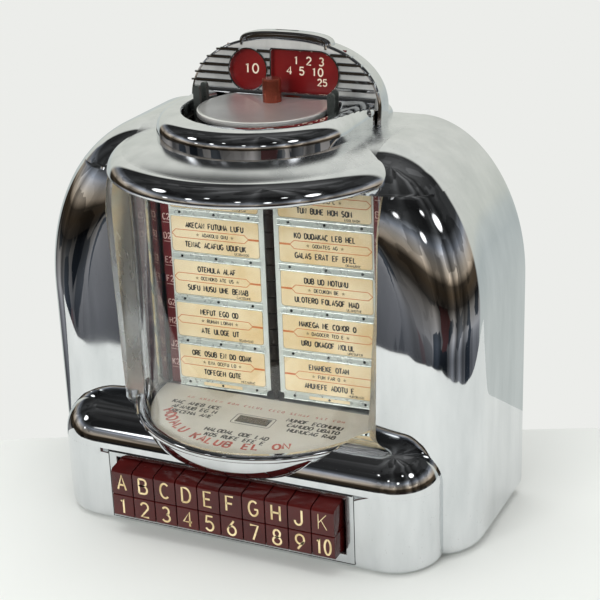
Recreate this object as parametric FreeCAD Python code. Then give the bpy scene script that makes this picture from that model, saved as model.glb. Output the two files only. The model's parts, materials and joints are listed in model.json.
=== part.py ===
import FreeCAD, Part
import math
import os

from FreeCAD import Vector

os.makedirs("parts", exist_ok=True)

# ---------------------------------------------------------------------------
# Frame: X to the right, front faces -Y, Z up, millimetres.
# The origin is the middle of the footprint, on the surface that the case stands on.
# ---------------------------------------------------------------------------

# Overall case
case_half_width = 170.0
case_back_y = 92.0
case_top_z = 289.0
wall = 3.0
fit = 0.3

# Shoulders and fenders of the case
spring_height = 176.0
crown_flat_half = 92.0
draft = 1.4
fender_front_y = -28.5
fender_crest_x = 131.0
fender_round_start_y = 11.5
fender_power = 2.2
fender_nose_angle = 80.0
valley_floor_y = 6.5
shoulder_start_y = 36.0
shoulder_drop = 95.0
case_corner_radius = 12.0
back_rows = 7
front_rows = 9
foot_steps = 6
side_shares = (0.03, 0.08, 0.2, 0.4, 0.6, 0.8)
shoulder_steps = 10

# Window
window_axis_y = 16.0
glass_radius = 94.3
glass_thickness = 2.0
glass_seat = 4.0
glass_tuck = 5.0
window_bottom_z = 84.0
window_half_angle = 83.0
window_wall = 3.5

# Lower housing that holds the keys, and the apron under the window
housing_half_width = 149.0
housing_front_y = -61.0
housing_corner_radius = 36.0
housing_top_z = 91.0
housing_top_round = 30.0
housing_base_round = 9.0
housing_back_y = 12.0
apron_radius = 99.5
apron_foot_z = 61.0
apron_knee_drop = 7.0
bead_height = 3.0

# Dome over the window: brim, tier, opening, deck
brim_radius = 108.0
brim_lip_z = 262.0
brim_lip = 5.5
brim_back_y = 80.0
tier_radius = 71.5
tier_base_z = 287.5
tier_top_z = 306.0
tier_back_y = 84.0
tier_soft = 11.0
deck_z = 300.0
deck_front_y = 53.0
opening_radius = 55.0
opening_axis_y = 20.0

# Keys
key_pitch = 17.7
key_gap = 0.4
key_count = 10
key_front_y = -74.5
key_travel = 5.5
number_bottom_z = 15.2
number_top_z = 33.0
letter_bottom_z = 33.3
letter_top_z = 53.3
key_bevel = 1.9
key_edge_round = 0.7
key_top_rise = 1.9
flange_thickness = 3.0
flange_lip = 2.8
stem_size = 6.0
stem_overrun = 6.0
stem_clearance = 0.1

# Bezel round the keys
key_row_half = key_count * key_pitch / 2
key_opening_half = key_row_half + 1.9
bezel_side_margin = 6.8
bezel_half_width = key_opening_half + bezel_side_margin
bezel_bottom_z = 6.2
bezel_top_z = 60.6
bezel_face = 2.5
bezel_flange = 1.6
bezel_flange_reach = 5.0
bezel_flange_lift = 3.5
key_opening_bottom_z = 13.8
key_opening_top_z = 55.9

# Guide, springs, latch bar and switches behind the keys
guide_front_y = -38.0
guide_thickness = 3.0
guide_half_width = key_row_half + 5.5
guide_top_z = 62.0
guide_foot = 12.0
spring_wall = 1.4
spring_gap = 1.6
latch_half_width = guide_half_width + 2.0
latch_thickness = 2.0
latch_bottom_z = 8.4
latch_top_z = 19.6
latch_travel = 3.0
bracket_pitches = 4
bracket_width = 9.0
bracket_lip = 1.2
switch_depth = 6.0
switch_top_z = 56.0
blade_size = 4.0
blade_reach = 2.0

# Title leaves on their rod
leaf_axis_y = 23.5
leaf_inner_radius = 7.0
leaf_outer_radius = 80.0
leaf_bottom_z = 84.0
leaf_top_z = 258.0
leaf_sheet = 1.0
leaf_rim = 2.2
leaf_rim_width = 4.0
leaf_bar_start = 16.0
leaf_rows = 5
front_leaf_angle = 3.0
leaf_step_angle = 12.0
rod_radius = 1.9
running_fit = 0.05
knuckle_radius = 3.6
knuckle_length = 12.0
knuckle_gap = 0.6
knuckle_margin = 4.0
knuckle_slots = 6
lever_radius = 50.5
lever_width = 5.0
lever_thickness = 3.0
lever_top_z = 317.0
label_width = 8.6
label_gap = 0.8
label_thickness = 1.6

# Shelf, card and pilot lens
shelf_z = 79.2
shelf_thickness = 2.0
shelf_back_y = 62.0
shelf_gap = 1.6
card_thickness = 1.2
card_back_y = 17.5
lens_centre_x = 2.0
lens_half_width = 12.8
lens_front_y = -24.8
lens_back_y = -14.8
lens_stand = 0.4
lens_lip = 2.2

# Leaf frame
upright_x = 99.0
upright_thickness = 2.0
upright_depth = 24.0
frame_cross_y = 60.0
frame_cross_z = 262.0
frame_bar = 8.0
frame_sheet = 3.0
arm_half_width = 12.0
arm_front_y = 14.5

# Disc and return post in the opening
disc_radius = 46.6
disc_top_z = 305.0
disc_thickness = 4.0
disc_back_y = 51.0
hub_radius = 7.0
post_y = 38.0
post_radius = 6.7
post_top_z = 321.5
post_travel = 4.0
post_round = 0.8
post_stem_radius = 4.0
post_stem_reach = 22.0
return_spring_length = 8.0
return_spring_wall = 1.6

# Crown on the deck
crown_face_y = 55.5
crown_half_width = 75.0
crown_sink = 1.0
crown_base_z = deck_z - crown_sink
crown_height = 47.0
crown_depth = 22.0
crown_lean = 5.0
crown_wall = 3.0
crown_floor = 9.0
crown_hood_round = 9.0
crown_roll_radius = 4.5
cap_half_width = 38.0
cap_height = 8.0
cap_depth = 15.0
fin_count = 5
fin_first = 12.0
fin_pitch = 5.8
fin_height = 2.4
fin_reach = 1.6
coin_window_x = -27.5
coin_window_z = 22.5
coin_window_radius = 14.5
price_window_left = -9.0
price_window_right = 43.0
price_window_half_height = 15.5
window_frame = 1.2
insert_thickness = 1.5
insert_margin = 4.0
insert_seat = 0.05
coin_slot_half = 13.0
coin_slot_width = 3.6
coin_slot_y = 7.6
coin_slot_depth = 20.0
crown_lamp_x = 35.0

# Coin chute and coin mechanism
chute_half_width = 16.0
chute_front_y = 64.0
chute_back_y = 76.0
chute_wall = 1.2
chute_top_drop = 0.5
chute_top_z = deck_z - chute_top_drop
chute_ear_z = 150.0
chute_ear_height = 12.0
chute_ear_reach = 8.0
coin_box_x0 = -22.0
coin_box_x1 = 66.0
coin_box_front_y = 40.0
coin_box_top_z = 76.0
coin_box_wall = 2.0
ramp_high_z = 60.0
ramp_low_z = 44.0
ramp_length = 38.0
ramp_thickness = 3.0

# Back plate, mounts and cable inlet
plate_thickness = 2.0
plate_gap = 0.3
mount_half_x = 120.0
mount_low_z = 60.0
mount_high_z = 240.0
mount_hole_radius = 2.75
inlet_x = 100.0
inlet_z = 30.0
inlet_radius = 8.0
gland_wall = 3.0
gland_flange = 3.0

# Chassis pan
pan_bottom_z = 4.0
pan_thickness = 2.0
pan_half_width = 125.0
pan_front_y = -50.0
pan_flange_top_z = 22.0
pad_radius = 6.0
pad_x = 100.0
pad_front_y = -40.0
pad_back_y = 60.0

# Pilot lamp stand and lamps
lamp_cap_radius = 4.5
lamp_cap_height = 9.0
lamp_bulb_radius = 5.5
lamp_bulb_rise = 12.0
stand_top_z = 56.0
stand_half_width = 6.0
stand_gap = 0.3
stand_thickness = 3.9
stand_shelf = 3.0

# Selector motor, contact disc and wiper
motor_x = -62.0
motor_z = 44.0
motor_radius = 17.0
motor_foot = 24.0
wiper_disc_radius = 31.0
wiper_disc_y = 60.0
wiper_disc_thickness = 2.0
shaft_radius = 2.5
shaft_hole_gap = 1.5
stud_circle = 25.0
stud_radius = 1.2
stud_count = 20
stud_reach = 0.8
leg_radius = 2.5
leg_rise = 14.0
wiper_hub_radius = 6.0
wiper_hub_length = 4.0
wiper_setback = 5.5
wiper_sheet = 1.5
wiper_tail = 12.0

# Terminal strip
terminal_x0 = 86.0
terminal_pitch = 7.0
terminal_count = 5
terminal_front_y = 70.0
terminal_depth = 12.0
terminal_height = 8.0
terminal_fence = 4.0
terminal_screw_radius = 2.2

# Lock in the left side
lock_radius = 9.0
lock_y = 66.0
lock_z = 150.0
lock_length = 24.0
lock_inset = 0.6
lock_plug_radius = 5.0
lock_nut_depth = 2.8
lock_nut_reach = 3.0
cam_length = 20.0
cam_height = 10.0
cam_thickness = 2.5
cam_hub_radius = 7.0
catch_thickness = 2.0
catch_half_height = 8.0
catch_foot = 14.0
catch_overlap = 6.0

# Screws
screw_radius = 1.9
screw_hole_gap = 0.1
screw_head_radius = 3.8
screw_head_height = 2.2
bezel_screw_radius = 1.2
bezel_screw_head_radius = 2.2
bezel_screw_depth = 2.0
bezel_screw_z = (14.0, 52.0)
pan_screw_x = (-115.0, -30.0, 76.0)
pan_screw_z = 14.0
crown_screw_x = 52.0
crown_screw_y = 66.0
crown_screw_depth = 5.0

# How far a cutter goes when it has to pass right through
reach_far = 400.0
far_side = 200.0


def box(x0, x1, y0, y1, z0, z1):
    """A block between two corners."""
    return Part.makeBox(x1 - x0, y1 - y0, z1 - z0, Vector(x0, y0, z0))


def post(radius, x, y, z0, z1):
    """An upright cylinder."""
    return Part.makeCylinder(radius, z1 - z0, Vector(x, y, z0))


def rod_y(radius, x, z, y0, y1):
    """A cylinder that points to the back."""
    return Part.makeCylinder(radius, y1 - y0, Vector(x, y0, z), Vector(0, 1, 0))


def rod_x(radius, y, z, x0, x1):
    """A cylinder that points to the right."""
    return Part.makeCylinder(radius, x1 - x0, Vector(x0, y, z), Vector(1, 0, 0))


def fuse(shapes):
    """One clean solid from several that touch."""
    whole = shapes[0]
    if len(shapes) > 1:
        whole = whole.multiFuse(shapes[1:])
    return whole.removeSplitter()


def polygon_face(points):
    """A flat face through the points given."""
    return Part.Face(Part.makePolygon(points + [points[0]]))


def curve_through(points):
    """A smooth edge through the points."""
    spline = Part.BSplineCurve()
    spline.interpolate(points)
    return spline.toShape()


def turned(profile_edges, axis_y, start_angle=-180.0, sweep=360.0):
    """Spin a closed profile of (radius, z) edges about an upright axis.

    The profile lies in the plane Y = axis_y, and angle 0 points to the front.
    """
    face = Part.Face(Part.Wire(profile_edges))
    axis = Vector(0, axis_y, 0)
    face.rotate(axis, Vector(0, 0, 1), start_angle - 90.0)
    return face.revolve(axis, Vector(0, 0, 1), sweep)


def profile_line(axis_y, a, b):
    """A straight edge of a turned profile."""
    return Part.LineSegment(Vector(a[0], axis_y, a[1]), Vector(b[0], axis_y, b[1])).toShape()


def profile_arc(axis_y, a, m, b):
    """A round edge of a turned profile, through three places."""
    return Part.Arc(Vector(a[0], axis_y, a[1]),
                    Vector(m[0], axis_y, m[1]),
                    Vector(b[0], axis_y, b[1])).toShape()


def save(name, shape):
    """Write one piece to its STEP file."""
    shape.exportStep("parts/" + name + ".step")


# ---------------------------------------------------------------------------
# Front cover: fenders and shoulders, lower housing, brim and tier, one casting
# ---------------------------------------------------------------------------

def fender_half_width(y):
    """Half the width of the case at a depth, with its draft and front rounding."""
    back = case_half_width - draft * (case_back_y - y) / (case_back_y - fender_front_y)
    if y >= fender_round_start_y:
        return back
    reach = (fender_round_start_y - y) / (fender_round_start_y - fender_front_y)
    share = (1.0 - min(reach, 1.0) ** fender_power) ** (1.0 / fender_power)
    return fender_crest_x + (back - fender_crest_x) * share


def shoulder_top(y):
    """Height of the top of the case at a depth."""
    if y >= shoulder_start_y:
        return case_top_z
    reach = (shoulder_start_y - y) / (shoulder_start_y - fender_front_y)
    return case_top_z - shoulder_drop * (1.0 - math.sqrt(max(0.0, 1.0 - reach ** 2)))


def base_lift(y):
    """How far the bottom edge curls up near the front of the fenders."""
    start = fender_front_y + case_corner_radius
    if y >= start:
        return 0.0
    reach = (start - y) / case_corner_radius
    return case_corner_radius * (1.0 - math.sqrt(max(0.0, 1.0 - reach ** 2)))


def case_depths():
    """The depths at which the case's outline is set out, closer together in the fenders."""
    straight = case_back_y - fender_round_start_y
    depths = [case_back_y - straight * row / back_rows for row in range(back_rows + 1)]
    reach = fender_round_start_y - fender_front_y
    for row in range(1, front_rows + 1):
        angle = math.radians(fender_nose_angle * row / front_rows)
        depths.append(fender_round_start_y - reach * math.sin(angle) ** (2 / fender_power))
    return depths


def case_section(y, inset):
    """Places along the outline at a depth, from the left foot over the top to the right foot."""
    half = fender_half_width(y) - inset
    top = shoulder_top(y) - inset
    base = base_lift(y) + inset
    corner = case_corner_radius - inset
    flat = crown_flat_half * half / case_half_width
    spring = spring_height * top / case_top_z
    lag = 0.0
    if y < shoulder_start_y:
        lag = inset * (shoulder_start_y - y) / (shoulder_start_y - fender_front_y)
    right = []
    for step in range(foot_steps + 1):
        angle = math.radians(90.0 * step / foot_steps)
        right.append((half - corner + corner * math.sin(angle), base + corner - corner * math.cos(angle)))
    low = base + corner
    for share in side_shares:
        right.append((half, low + share * (spring - low)))
    for step in range(shoulder_steps + 1):
        angle = math.radians(90.0 * step / shoulder_steps)
        right.append((flat + (half - flat) * math.cos(angle), spring + (top - spring) * math.sin(angle)))
    for share in (0.75, 0.5, 0.25):
        right.append((flat * share, top))
    outline = [(-x, z) for x, z in right] + [(0.0, top)] + right[::-1]
    return [Vector(x, y + lag, z) for x, z in outline]


def spaced(points):
    """How far along a row of points each lies, from 0 to 1."""
    places = [0.0]
    for a, b in zip(points, points[1:]):
        places.append(places[-1] + a.distanceToPoint(b))
    return [place / places[-1] for place in places]


def spline_through(points, places):
    """A smooth curve that passes each point at its own place."""
    spline = Part.BSplineCurve()
    spline.interpolate(Points=points, Parameters=places)
    return spline


def skin_through(rows):
    """A smooth surface through a grid of points, with its places across and along the rows."""
    along = spaced(rows[0])
    side = len(rows[0]) // 4
    across = spaced([row[side] for row in rows])
    curves = [spline_through(row, along) for row in rows]
    columns = [spline_through(list(column), across) for column in zip(*[c.getPoles() for c in curves])]
    poles = [list(row) for row in zip(*[c.getPoles() for c in columns])]
    skin = Part.BSplineSurface()
    skin.buildFromPolesMultsKnots(poles, columns[0].getMultiplicities(), curves[0].getMultiplicities(),
                                  columns[0].getKnots(), curves[0].getKnots(), False, False, 3, 3)
    return skin, across, along


def closed_by_base(edges):
    """The flat face inside an outline that lacks only its straight base."""
    start = edges[0].Vertexes[0].Point
    end = edges[-1].Vertexes[-1].Point
    return Part.Face(Part.Wire(edges + [Part.LineSegment(end, start).toShape()]))


def spans(places):
    """Each stretch between one place and the next."""
    return list(zip(places, places[1:]))


def case_body(inset):
    """The arched case as one solid, pulled in by an inset on every side but the back."""
    skin, across, along = skin_through([case_section(y, inset) for y in case_depths()])
    side_end = foot_steps + len(side_shares) + 1
    turns = [0, foot_steps, side_end, side_end + shoulder_steps]
    stations = [along[n] for n in turns] + [along[-1 - n] for n in reversed(turns)]
    depths = [across[0], across[back_rows], across[-1]]
    faces = []
    for u0, u1 in spans(depths):
        for v0, v1 in spans(stations):
            patch = skin.copy()
            patch.segment(u0, u1, v0, v1)
            faces.append(patch.toShape())
        left = skin.vIso(0.0).toShape(u0, u1)
        right = skin.vIso(1.0).toShape(u0, u1)
        faces.append(Part.makeRuledSurface(left, right))
    for u in (depths[0], depths[-1]):
        rim = skin.uIso(u)
        faces.append(closed_by_base([rim.toShape(v0, v1) for v0, v1 in spans(stations)]))
    shell = Part.makeShell(faces)
    shell.sewShape()
    return Part.makeSolid(shell)


def valley(inset):
    """The hollow between the fenders, in plan, as a tall cutter."""
    half_run = fender_crest_x - glass_radius - inset
    depth = valley_floor_y - fender_front_y - inset
    floor_y = valley_floor_y + inset
    base_z = -10.0

    def side(sign):
        places = []
        for step in range(6):
            angle = math.radians(18.0 * step)
            x = fender_crest_x - half_run * math.cos(angle) ** (2 / fender_power)
            y = floor_y - depth * math.sin(angle) ** (2 / fender_power)
            places.append(Vector(sign * x, y, base_z))
        return places

    def line(a, b):
        return Part.LineSegment(a, b).toShape()

    right = side(1)
    left = side(-1)
    ahead = Vector(0, -20.0, 0)
    edges = [
        curve_through(right),
        line(right[-1], right[-1] + ahead),
        line(right[-1] + ahead, left[-1] + ahead),
        line(left[-1] + ahead, left[-1]),
        curve_through(left[::-1]),
        line(left[0], right[0]),
    ]
    face = Part.Face(Part.Wire(Part.__sortEdges__(edges)))
    return face.extrude(Vector(0, 0, case_top_z + 20))


def housing_body(inset):
    """The rounded lower housing as one solid."""
    half = housing_half_width - inset
    front = housing_front_y + inset
    back = housing_back_y + 2 * inset
    radius = housing_corner_radius - inset
    block = box(-half, half, front, back, inset, housing_top_z - inset)
    uprights = []
    for edge in block.Edges:
        a, b = edge.Vertexes[0].Point, edge.Vertexes[1].Point
        if abs(a.z - b.z) > 10 and a.y < front + 1:
            uprights.append(edge)
    block = block.makeFillet(radius, uprights)

    def rim(z):
        found = []
        for edge in block.Edges:
            on_level = all(abs(v.Point.z - z) < 0.01 for v in edge.Vertexes)
            at_back = all(v.Point.y > back - 0.01 for v in edge.Vertexes)
            if on_level and not at_back:
                found.append(edge)
        return found

    top_edges = rim(housing_top_z - inset)
    block = block.makeFillet(housing_top_round - inset, top_edges)
    return block.makeFillet(housing_base_round - inset, rim(inset))


def apron_body(inset):
    """The round apron that carries the foot of the window."""
    y = window_axis_y
    outer = apron_radius - inset
    foot_r = window_axis_y - housing_front_y - inset
    low = apron_foot_z - 2.0
    knee_z = window_bottom_z - apron_knee_drop
    top = window_bottom_z - inset
    edges = [
        profile_line(y, (0, low), (foot_r, low)),
        profile_arc(y, (foot_r, low), ((foot_r + outer) / 2 + 3.0, (low + knee_z) / 2 - 3.0), (outer, knee_z)),
        profile_line(y, (outer, knee_z), (outer, top)),
        profile_line(y, (outer, top), (0, top)),
        profile_line(y, (0, top), (0, low)),
    ]
    front_half = box(-far_side, far_side, -far_side, housing_back_y, 0, far_side)
    return turned(edges, y).common(front_half)


def brim_body(inset):
    """The wide lower tier of the dome."""
    y = window_axis_y
    lip = brim_lip
    outer = brim_radius - inset
    low = brim_lip_z + inset
    top = tier_base_z + 1.0 - inset
    tuck = 0.29 * lip
    edges = [
        profile_line(y, (0, low), (outer - lip, low)),
        profile_arc(y, (outer - lip, low), (outer - tuck, low + tuck), (outer, low + lip)),
        profile_arc(y, (outer, low + lip), (outer - 11.5, top - 7.0), (tier_radius - 4.0, top)),
        profile_line(y, (tier_radius - 4.0, top), (0, top)),
        profile_line(y, (0, top), (0, low)),
    ]
    solid = turned(edges, y)
    return solid.common(box(-far_side, far_side, -far_side, brim_back_y - inset, 0, reach_far))


def tier_body(inset):
    """The small upper tier: round at the front, straight sides to the back."""
    y = window_axis_y
    outer = tier_radius - inset
    top = tier_top_z - inset
    low = tier_base_z - 8.0
    soft = tier_soft
    tuck = 0.29 * soft
    edges = [
        profile_line(y, (0, low), (outer, low)),
        profile_line(y, (outer, low), (outer, top - soft)),
        profile_arc(y, (outer, top - soft), (outer - tuck, top - tuck), (outer - soft, top)),
        profile_line(y, (outer - soft, top), (0, top)),
        profile_line(y, (0, top), (0, low)),
    ]
    half = turned(edges, y)
    right = Part.Face(Part.Wire(edges))
    length = Vector(0, tier_back_y - inset - y, 0)
    right_bar = right.extrude(length)
    left_bar = right_bar.mirror(Vector(0, 0, 0), Vector(1, 0, 0))
    whole = fuse([half.common(box(-far_side, far_side, -far_side, y + 0.01, 0, reach_far)), right_bar, left_bar])
    step = box(-far_side, far_side, deck_front_y, far_side, deck_z - inset, reach_far)
    return whole.cut(step)


def in_front_of(y):
    """All the space ahead of a depth."""
    return box(-far_side, far_side, -far_side, y, -50, reach_far)


def window_ring(inner, outer, z0, z1):
    """A band of the window's cylinder, over the angle that the glass covers."""
    y = window_axis_y
    edges = [
        profile_line(y, (inner, z0), (outer, z0)),
        profile_line(y, (outer, z0), (outer, z1)),
        profile_line(y, (outer, z1), (inner, z1)),
        profile_line(y, (inner, z1), (inner, z0)),
    ]
    return turned(edges, y, -window_half_angle, 2 * window_half_angle)


def window_bead():
    """The rolled bead on the apron at the foot of the glass."""
    y = window_axis_y
    inner = glass_radius + fit
    outer = apron_radius
    z = window_bottom_z
    edges = [
        profile_line(y, (inner, z - 1.0), (outer, z - 1.0)),
        profile_line(y, (outer, z - 1.0), (outer, z)),
        profile_arc(y, (outer, z), ((inner + outer) / 2, z + bead_height), (inner, z)),
        profile_line(y, (inner, z), (inner, z - 1.0)),
    ]
    return turned(edges, y, -window_half_angle, 2 * window_half_angle)


def bezel_screw_places():
    """The middle of each screw that holds the bezel, as (x, z)."""
    x = bezel_half_width + fit + (bezel_flange_reach - fit) / 2
    return [(side * x, z) for side in (-1, 1) for z in bezel_screw_z]


def crown_screw_places():
    """The middle of each screw under the crown, as x."""
    return (-crown_screw_x, crown_screw_x)


def front_cover():
    """The whole casting, hollow, open at the back, at the window, at the keys and on top."""
    outer = case_body(0.0).cut(valley(0.0))
    outer = fuse([outer, housing_body(0.0), apron_body(0.0), brim_body(0.0), tier_body(0.0), window_bead()])

    under_shelf_z = window_bottom_z - glass_seat - glass_seat
    behind_glass = post(glass_radius + fit + window_wall, 0, window_axis_y, under_shelf_z, brim_lip_z)
    behind_glass = behind_glass.common(in_front_of(housing_back_y - 1.0))
    key_room = housing_half_width - case_corner_radius
    hollow = fuse([
        case_body(wall).cut(valley(wall)),
        housing_body(wall),
        box(-key_room, key_room, -20.0, 2.5 * housing_back_y, 3 * wall, apron_foot_z),
    ])
    hollow = hollow.cut(behind_glass)
    below = box(-far_side, far_side, -far_side, far_side, 0, under_shelf_z)
    hollow = fuse([hollow, brim_body(wall), tier_body(wall), apron_body(wall).common(below)])

    shell = outer.cut(hollow)
    shell = shell.cut(post(glass_radius + fit, 0, window_axis_y,
                           window_bottom_z - glass_seat, brim_lip_z + glass_tuck + 1.0))
    well_radius = glass_radius - glass_thickness - shelf_gap + fit
    shell = shell.cut(post(well_radius, 0, window_axis_y, under_shelf_z - 1.0, window_bottom_z + 1.0))
    opening = post(opening_radius, 0, opening_axis_y, tier_base_z - 15.0, tier_top_z + 15.0)
    shell = shell.cut(opening.common(in_front_of(deck_front_y)))
    shell = shell.cut(box(-bezel_half_width - fit, bezel_half_width + fit, housing_front_y - 30.0,
                          housing_front_y + 5 * wall, bezel_bottom_z - fit, bezel_top_z + fit))
    chute_hole = chute_half_width + 1.0
    shell = shell.cut(box(-chute_hole, chute_hole, chute_front_y - 1.0, chute_back_y + 1.0,
                          tier_base_z - 20.0, tier_top_z + 20.0))
    shell = shell.cut(rod_x(lock_radius + fit, lock_y, lock_z, -case_half_width - 20, -case_half_width + 20))
    for x, z in bezel_screw_places():
        y0 = housing_front_y + wall - bezel_screw_depth
        shell = shell.cut(rod_y(bezel_screw_radius + screw_hole_gap, x, z, y0, y0 + 10.0))
    for x in crown_screw_places():
        shell = shell.cut(post(screw_radius + screw_hole_gap, x, crown_screw_y, deck_z - 15.0, deck_z + 1.0))
    return shell


# ---------------------------------------------------------------------------
# Window and what shows behind it
# ---------------------------------------------------------------------------

def window_glass():
    """The curved clear pane, let into the apron and the brim."""
    low = window_bottom_z - glass_seat + fit
    return window_ring(glass_radius - glass_thickness, glass_radius, low, brim_lip_z + glass_tuck)


def page_shelf():
    """The flat shelf that carries the leaves, the card and the label strips."""
    well = glass_radius - glass_thickness - shelf_gap
    high = shelf_z + shelf_thickness
    round_front = post(well, 0, window_axis_y, shelf_z, high).common(in_front_of(window_axis_y))
    square_back = box(-well, well, window_axis_y, shelf_back_y, shelf_z, high)
    shelf = fuse([round_front, square_back])
    shelf = shelf.cut(post(rod_radius + running_fit, 0, leaf_axis_y, 0, reach_far))
    return shelf.cut(lens_block(lens_lip + 0.2, 0, reach_far))


def lens_block(grow, z0, z1):
    """The space of the pilot lens between two heights."""
    return box(lens_centre_x - lens_half_width - grow, lens_centre_x + lens_half_width + grow,
               lens_front_y - grow / 2, lens_back_y + grow / 2, z0, z1)


def floor_card():
    """The printed card that lies on the shelf in front of the pages."""
    radius = glass_radius - glass_thickness - shelf_gap - fit
    low = shelf_z + shelf_thickness
    card = post(radius, 0, window_axis_y, low, low + card_thickness).common(in_front_of(card_back_y))
    return card.cut(lens_block(0.2, 0, reach_far))


def pilot_lens():
    """The small dark lens in the card, with the lip that holds it under the card."""
    low = shelf_z + shelf_thickness
    return fuse([lens_block(0.0, low, low + card_thickness + lens_stand), lens_block(lens_lip, shelf_z, low)])


def at_leaf_angle(shape, degrees):
    """Turn a piece drawn along -X to its place round the leaf rod; positive swings to the front."""
    placed = shape.copy()
    placed.rotate(Vector(0, leaf_axis_y, 0), Vector(0, 0, 1), degrees)
    return placed


def leaf_panel():
    """A title leaf drawn flat along -X: a sheet with raised rims and row bars."""
    y = leaf_axis_y
    sheet = box(-leaf_outer_radius, -leaf_inner_radius, y - leaf_sheet / 2, y + leaf_sheet / 2,
                leaf_bottom_z, leaf_top_z)
    half = leaf_rim / 2
    rims = [box(-leaf_outer_radius, -leaf_outer_radius + leaf_rim_width, y - half, y + half,
                leaf_bottom_z, leaf_top_z)]
    pitch = (leaf_top_z - leaf_bottom_z - leaf_rim_width) / leaf_rows
    for row in range(leaf_rows + 1):
        z = leaf_bottom_z + row * pitch
        rims.append(box(-leaf_outer_radius, -leaf_bar_start, y - half, y + half, z, z + leaf_rim_width))
    return fuse([sheet] + rims)


def knuckles(slot):
    """Two hinge knuckles round the rod, at a height of their own for each leaf."""
    step = knuckle_length + knuckle_gap
    upper = leaf_top_z - knuckle_margin - knuckle_slots * step
    half = leaf_sheet / 2
    parts = []
    for base in (leaf_bottom_z + knuckle_margin, upper):
        z = base + slot * step
        parts.append(post(knuckle_radius, 0, leaf_axis_y, z, z + knuckle_length))
        parts.append(box(-leaf_inner_radius - 1.0, 0, leaf_axis_y - half, leaf_axis_y + half,
                         z, z + knuckle_length))
    return parts


def title_leaf(slot, degrees):
    """A leaf with its knuckles, turned to its place, with room for the rod."""
    leaf = fuse([leaf_panel()] + knuckles(slot))
    leaf = leaf.cut(post(rod_radius + running_fit, 0, leaf_axis_y, 0, reach_far))
    return at_leaf_angle(leaf, degrees)


def leaf_lever(degrees):
    """The finger tab that stands through the ring slot on top, on the edge of its leaf."""
    y = leaf_axis_y
    half = lever_thickness / 2
    wide = lever_width / 2
    blade = box(-lever_radius - wide, -lever_radius + wide, y - half, y + half, leaf_top_z, lever_top_z - wide)
    crest = rod_y(wide, -lever_radius, lever_top_z - wide, y - half, y + half)
    return at_leaf_angle(fuse([blade, crest]), degrees)


def hinge_rod():
    """The upright rod that every leaf turns on, from the shelf to the arm."""
    return post(rod_radius, 0, leaf_axis_y, shelf_z, frame_cross_z + frame_bar - frame_sheet)


def fixed_pages():
    """The two pages behind the leaves, which stay where they are."""
    left = title_leaf(0, front_leaf_angle - 2 * leaf_step_angle)
    right = title_leaf(knuckle_slots - 1, 180.0 + front_leaf_angle + 2 * leaf_step_angle)
    return Part.makeCompound([left, right])


def selection_labels():
    """The upright code strips beside the pages, standing on the shelf."""
    x0 = leaf_outer_radius + label_gap
    right = box(x0, x0 + label_width, leaf_axis_y, leaf_axis_y + label_thickness,
                shelf_z + shelf_thickness, leaf_top_z + 3.0)
    return Part.makeCompound([right, right.mirror(Vector(0, 0, 0), Vector(1, 0, 0))])


# ---------------------------------------------------------------------------
# Leaf frame, top disc, return post
# ---------------------------------------------------------------------------

def leaf_frame():
    """The bent frame: two uprights from the pan, two cross bars, and the arm over the rod."""
    low = pan_bottom_z + pan_thickness
    top = frame_cross_z + frame_bar
    front = frame_cross_y - 2 * upright_depth / 3
    parts = []
    for side in (-1, 1):
        x0, x1 = sorted((side * upright_x, side * (upright_x - upright_thickness)))
        parts.append(box(x0, x1, front, front + upright_depth, low, top))
    parts.append(box(-upright_x, upright_x, frame_cross_y - upright_thickness, frame_cross_y,
                     frame_cross_z, top))
    parts.append(box(-arm_half_width, arm_half_width, arm_front_y, frame_cross_y, top - frame_sheet, top))
    parts.append(box(-upright_x, upright_x, shelf_back_y - frame_bar, shelf_back_y,
                     shelf_z - frame_sheet, shelf_z))
    return fuse(parts).cut(post(post_stem_radius + fit, 0, post_y, 0, reach_far))


def top_disc():
    """The polished disc in the opening, with the hub that stands on the arm."""
    face = post(disc_radius, 0, leaf_axis_y, disc_top_z - disc_thickness, disc_top_z)
    rim = [e for e in face.Edges if e.Curve.TypeId == "Part::GeomCircle"]
    face = face.makeFillet(0.45 * disc_thickness, rim).common(in_front_of(disc_back_y))
    hub = post(hub_radius, 0, leaf_axis_y, frame_cross_z + frame_bar, disc_top_z - disc_thickness / 2)
    return fuse([face, hub]).cut(post(post_radius + fit, 0, post_y, 0, reach_far))


def return_post():
    """The post that is pressed to give coins back, with its stem through the arm."""
    low = frame_cross_z + frame_bar + return_spring_length + post_travel
    head = post(post_radius, 0, post_y, low, post_top_z)
    rim = [e for e in head.Edges if e.Curve.TypeId == "Part::GeomCircle"]
    head = head.makeFillet(post_round, rim)
    return fuse([head, post(post_stem_radius, 0, post_y, frame_cross_z - post_stem_reach, low + 2 * post_round)])


def return_spring():
    """The short spring under the post, standing on the arm round the stem."""
    z = frame_cross_z + frame_bar
    ring = post(post_radius - fit, 0, post_y, z, z + return_spring_length - fit)
    return ring.cut(post(post_radius - fit - return_spring_wall, 0, post_y, 0, reach_far))


# ---------------------------------------------------------------------------
# Crown on the deck
# ---------------------------------------------------------------------------

def crown_edge_points(inset):
    """Half of the crown's arched outline, from its foot to its flat top, as (x, height)."""
    half = crown_half_width - inset
    high = crown_height - inset
    points = []
    for step in range(7):
        angle = math.radians(15.0 * step)
        points.append((half * math.cos(angle) ** 0.85, high * math.sin(angle) ** 0.95))
    return points


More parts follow.
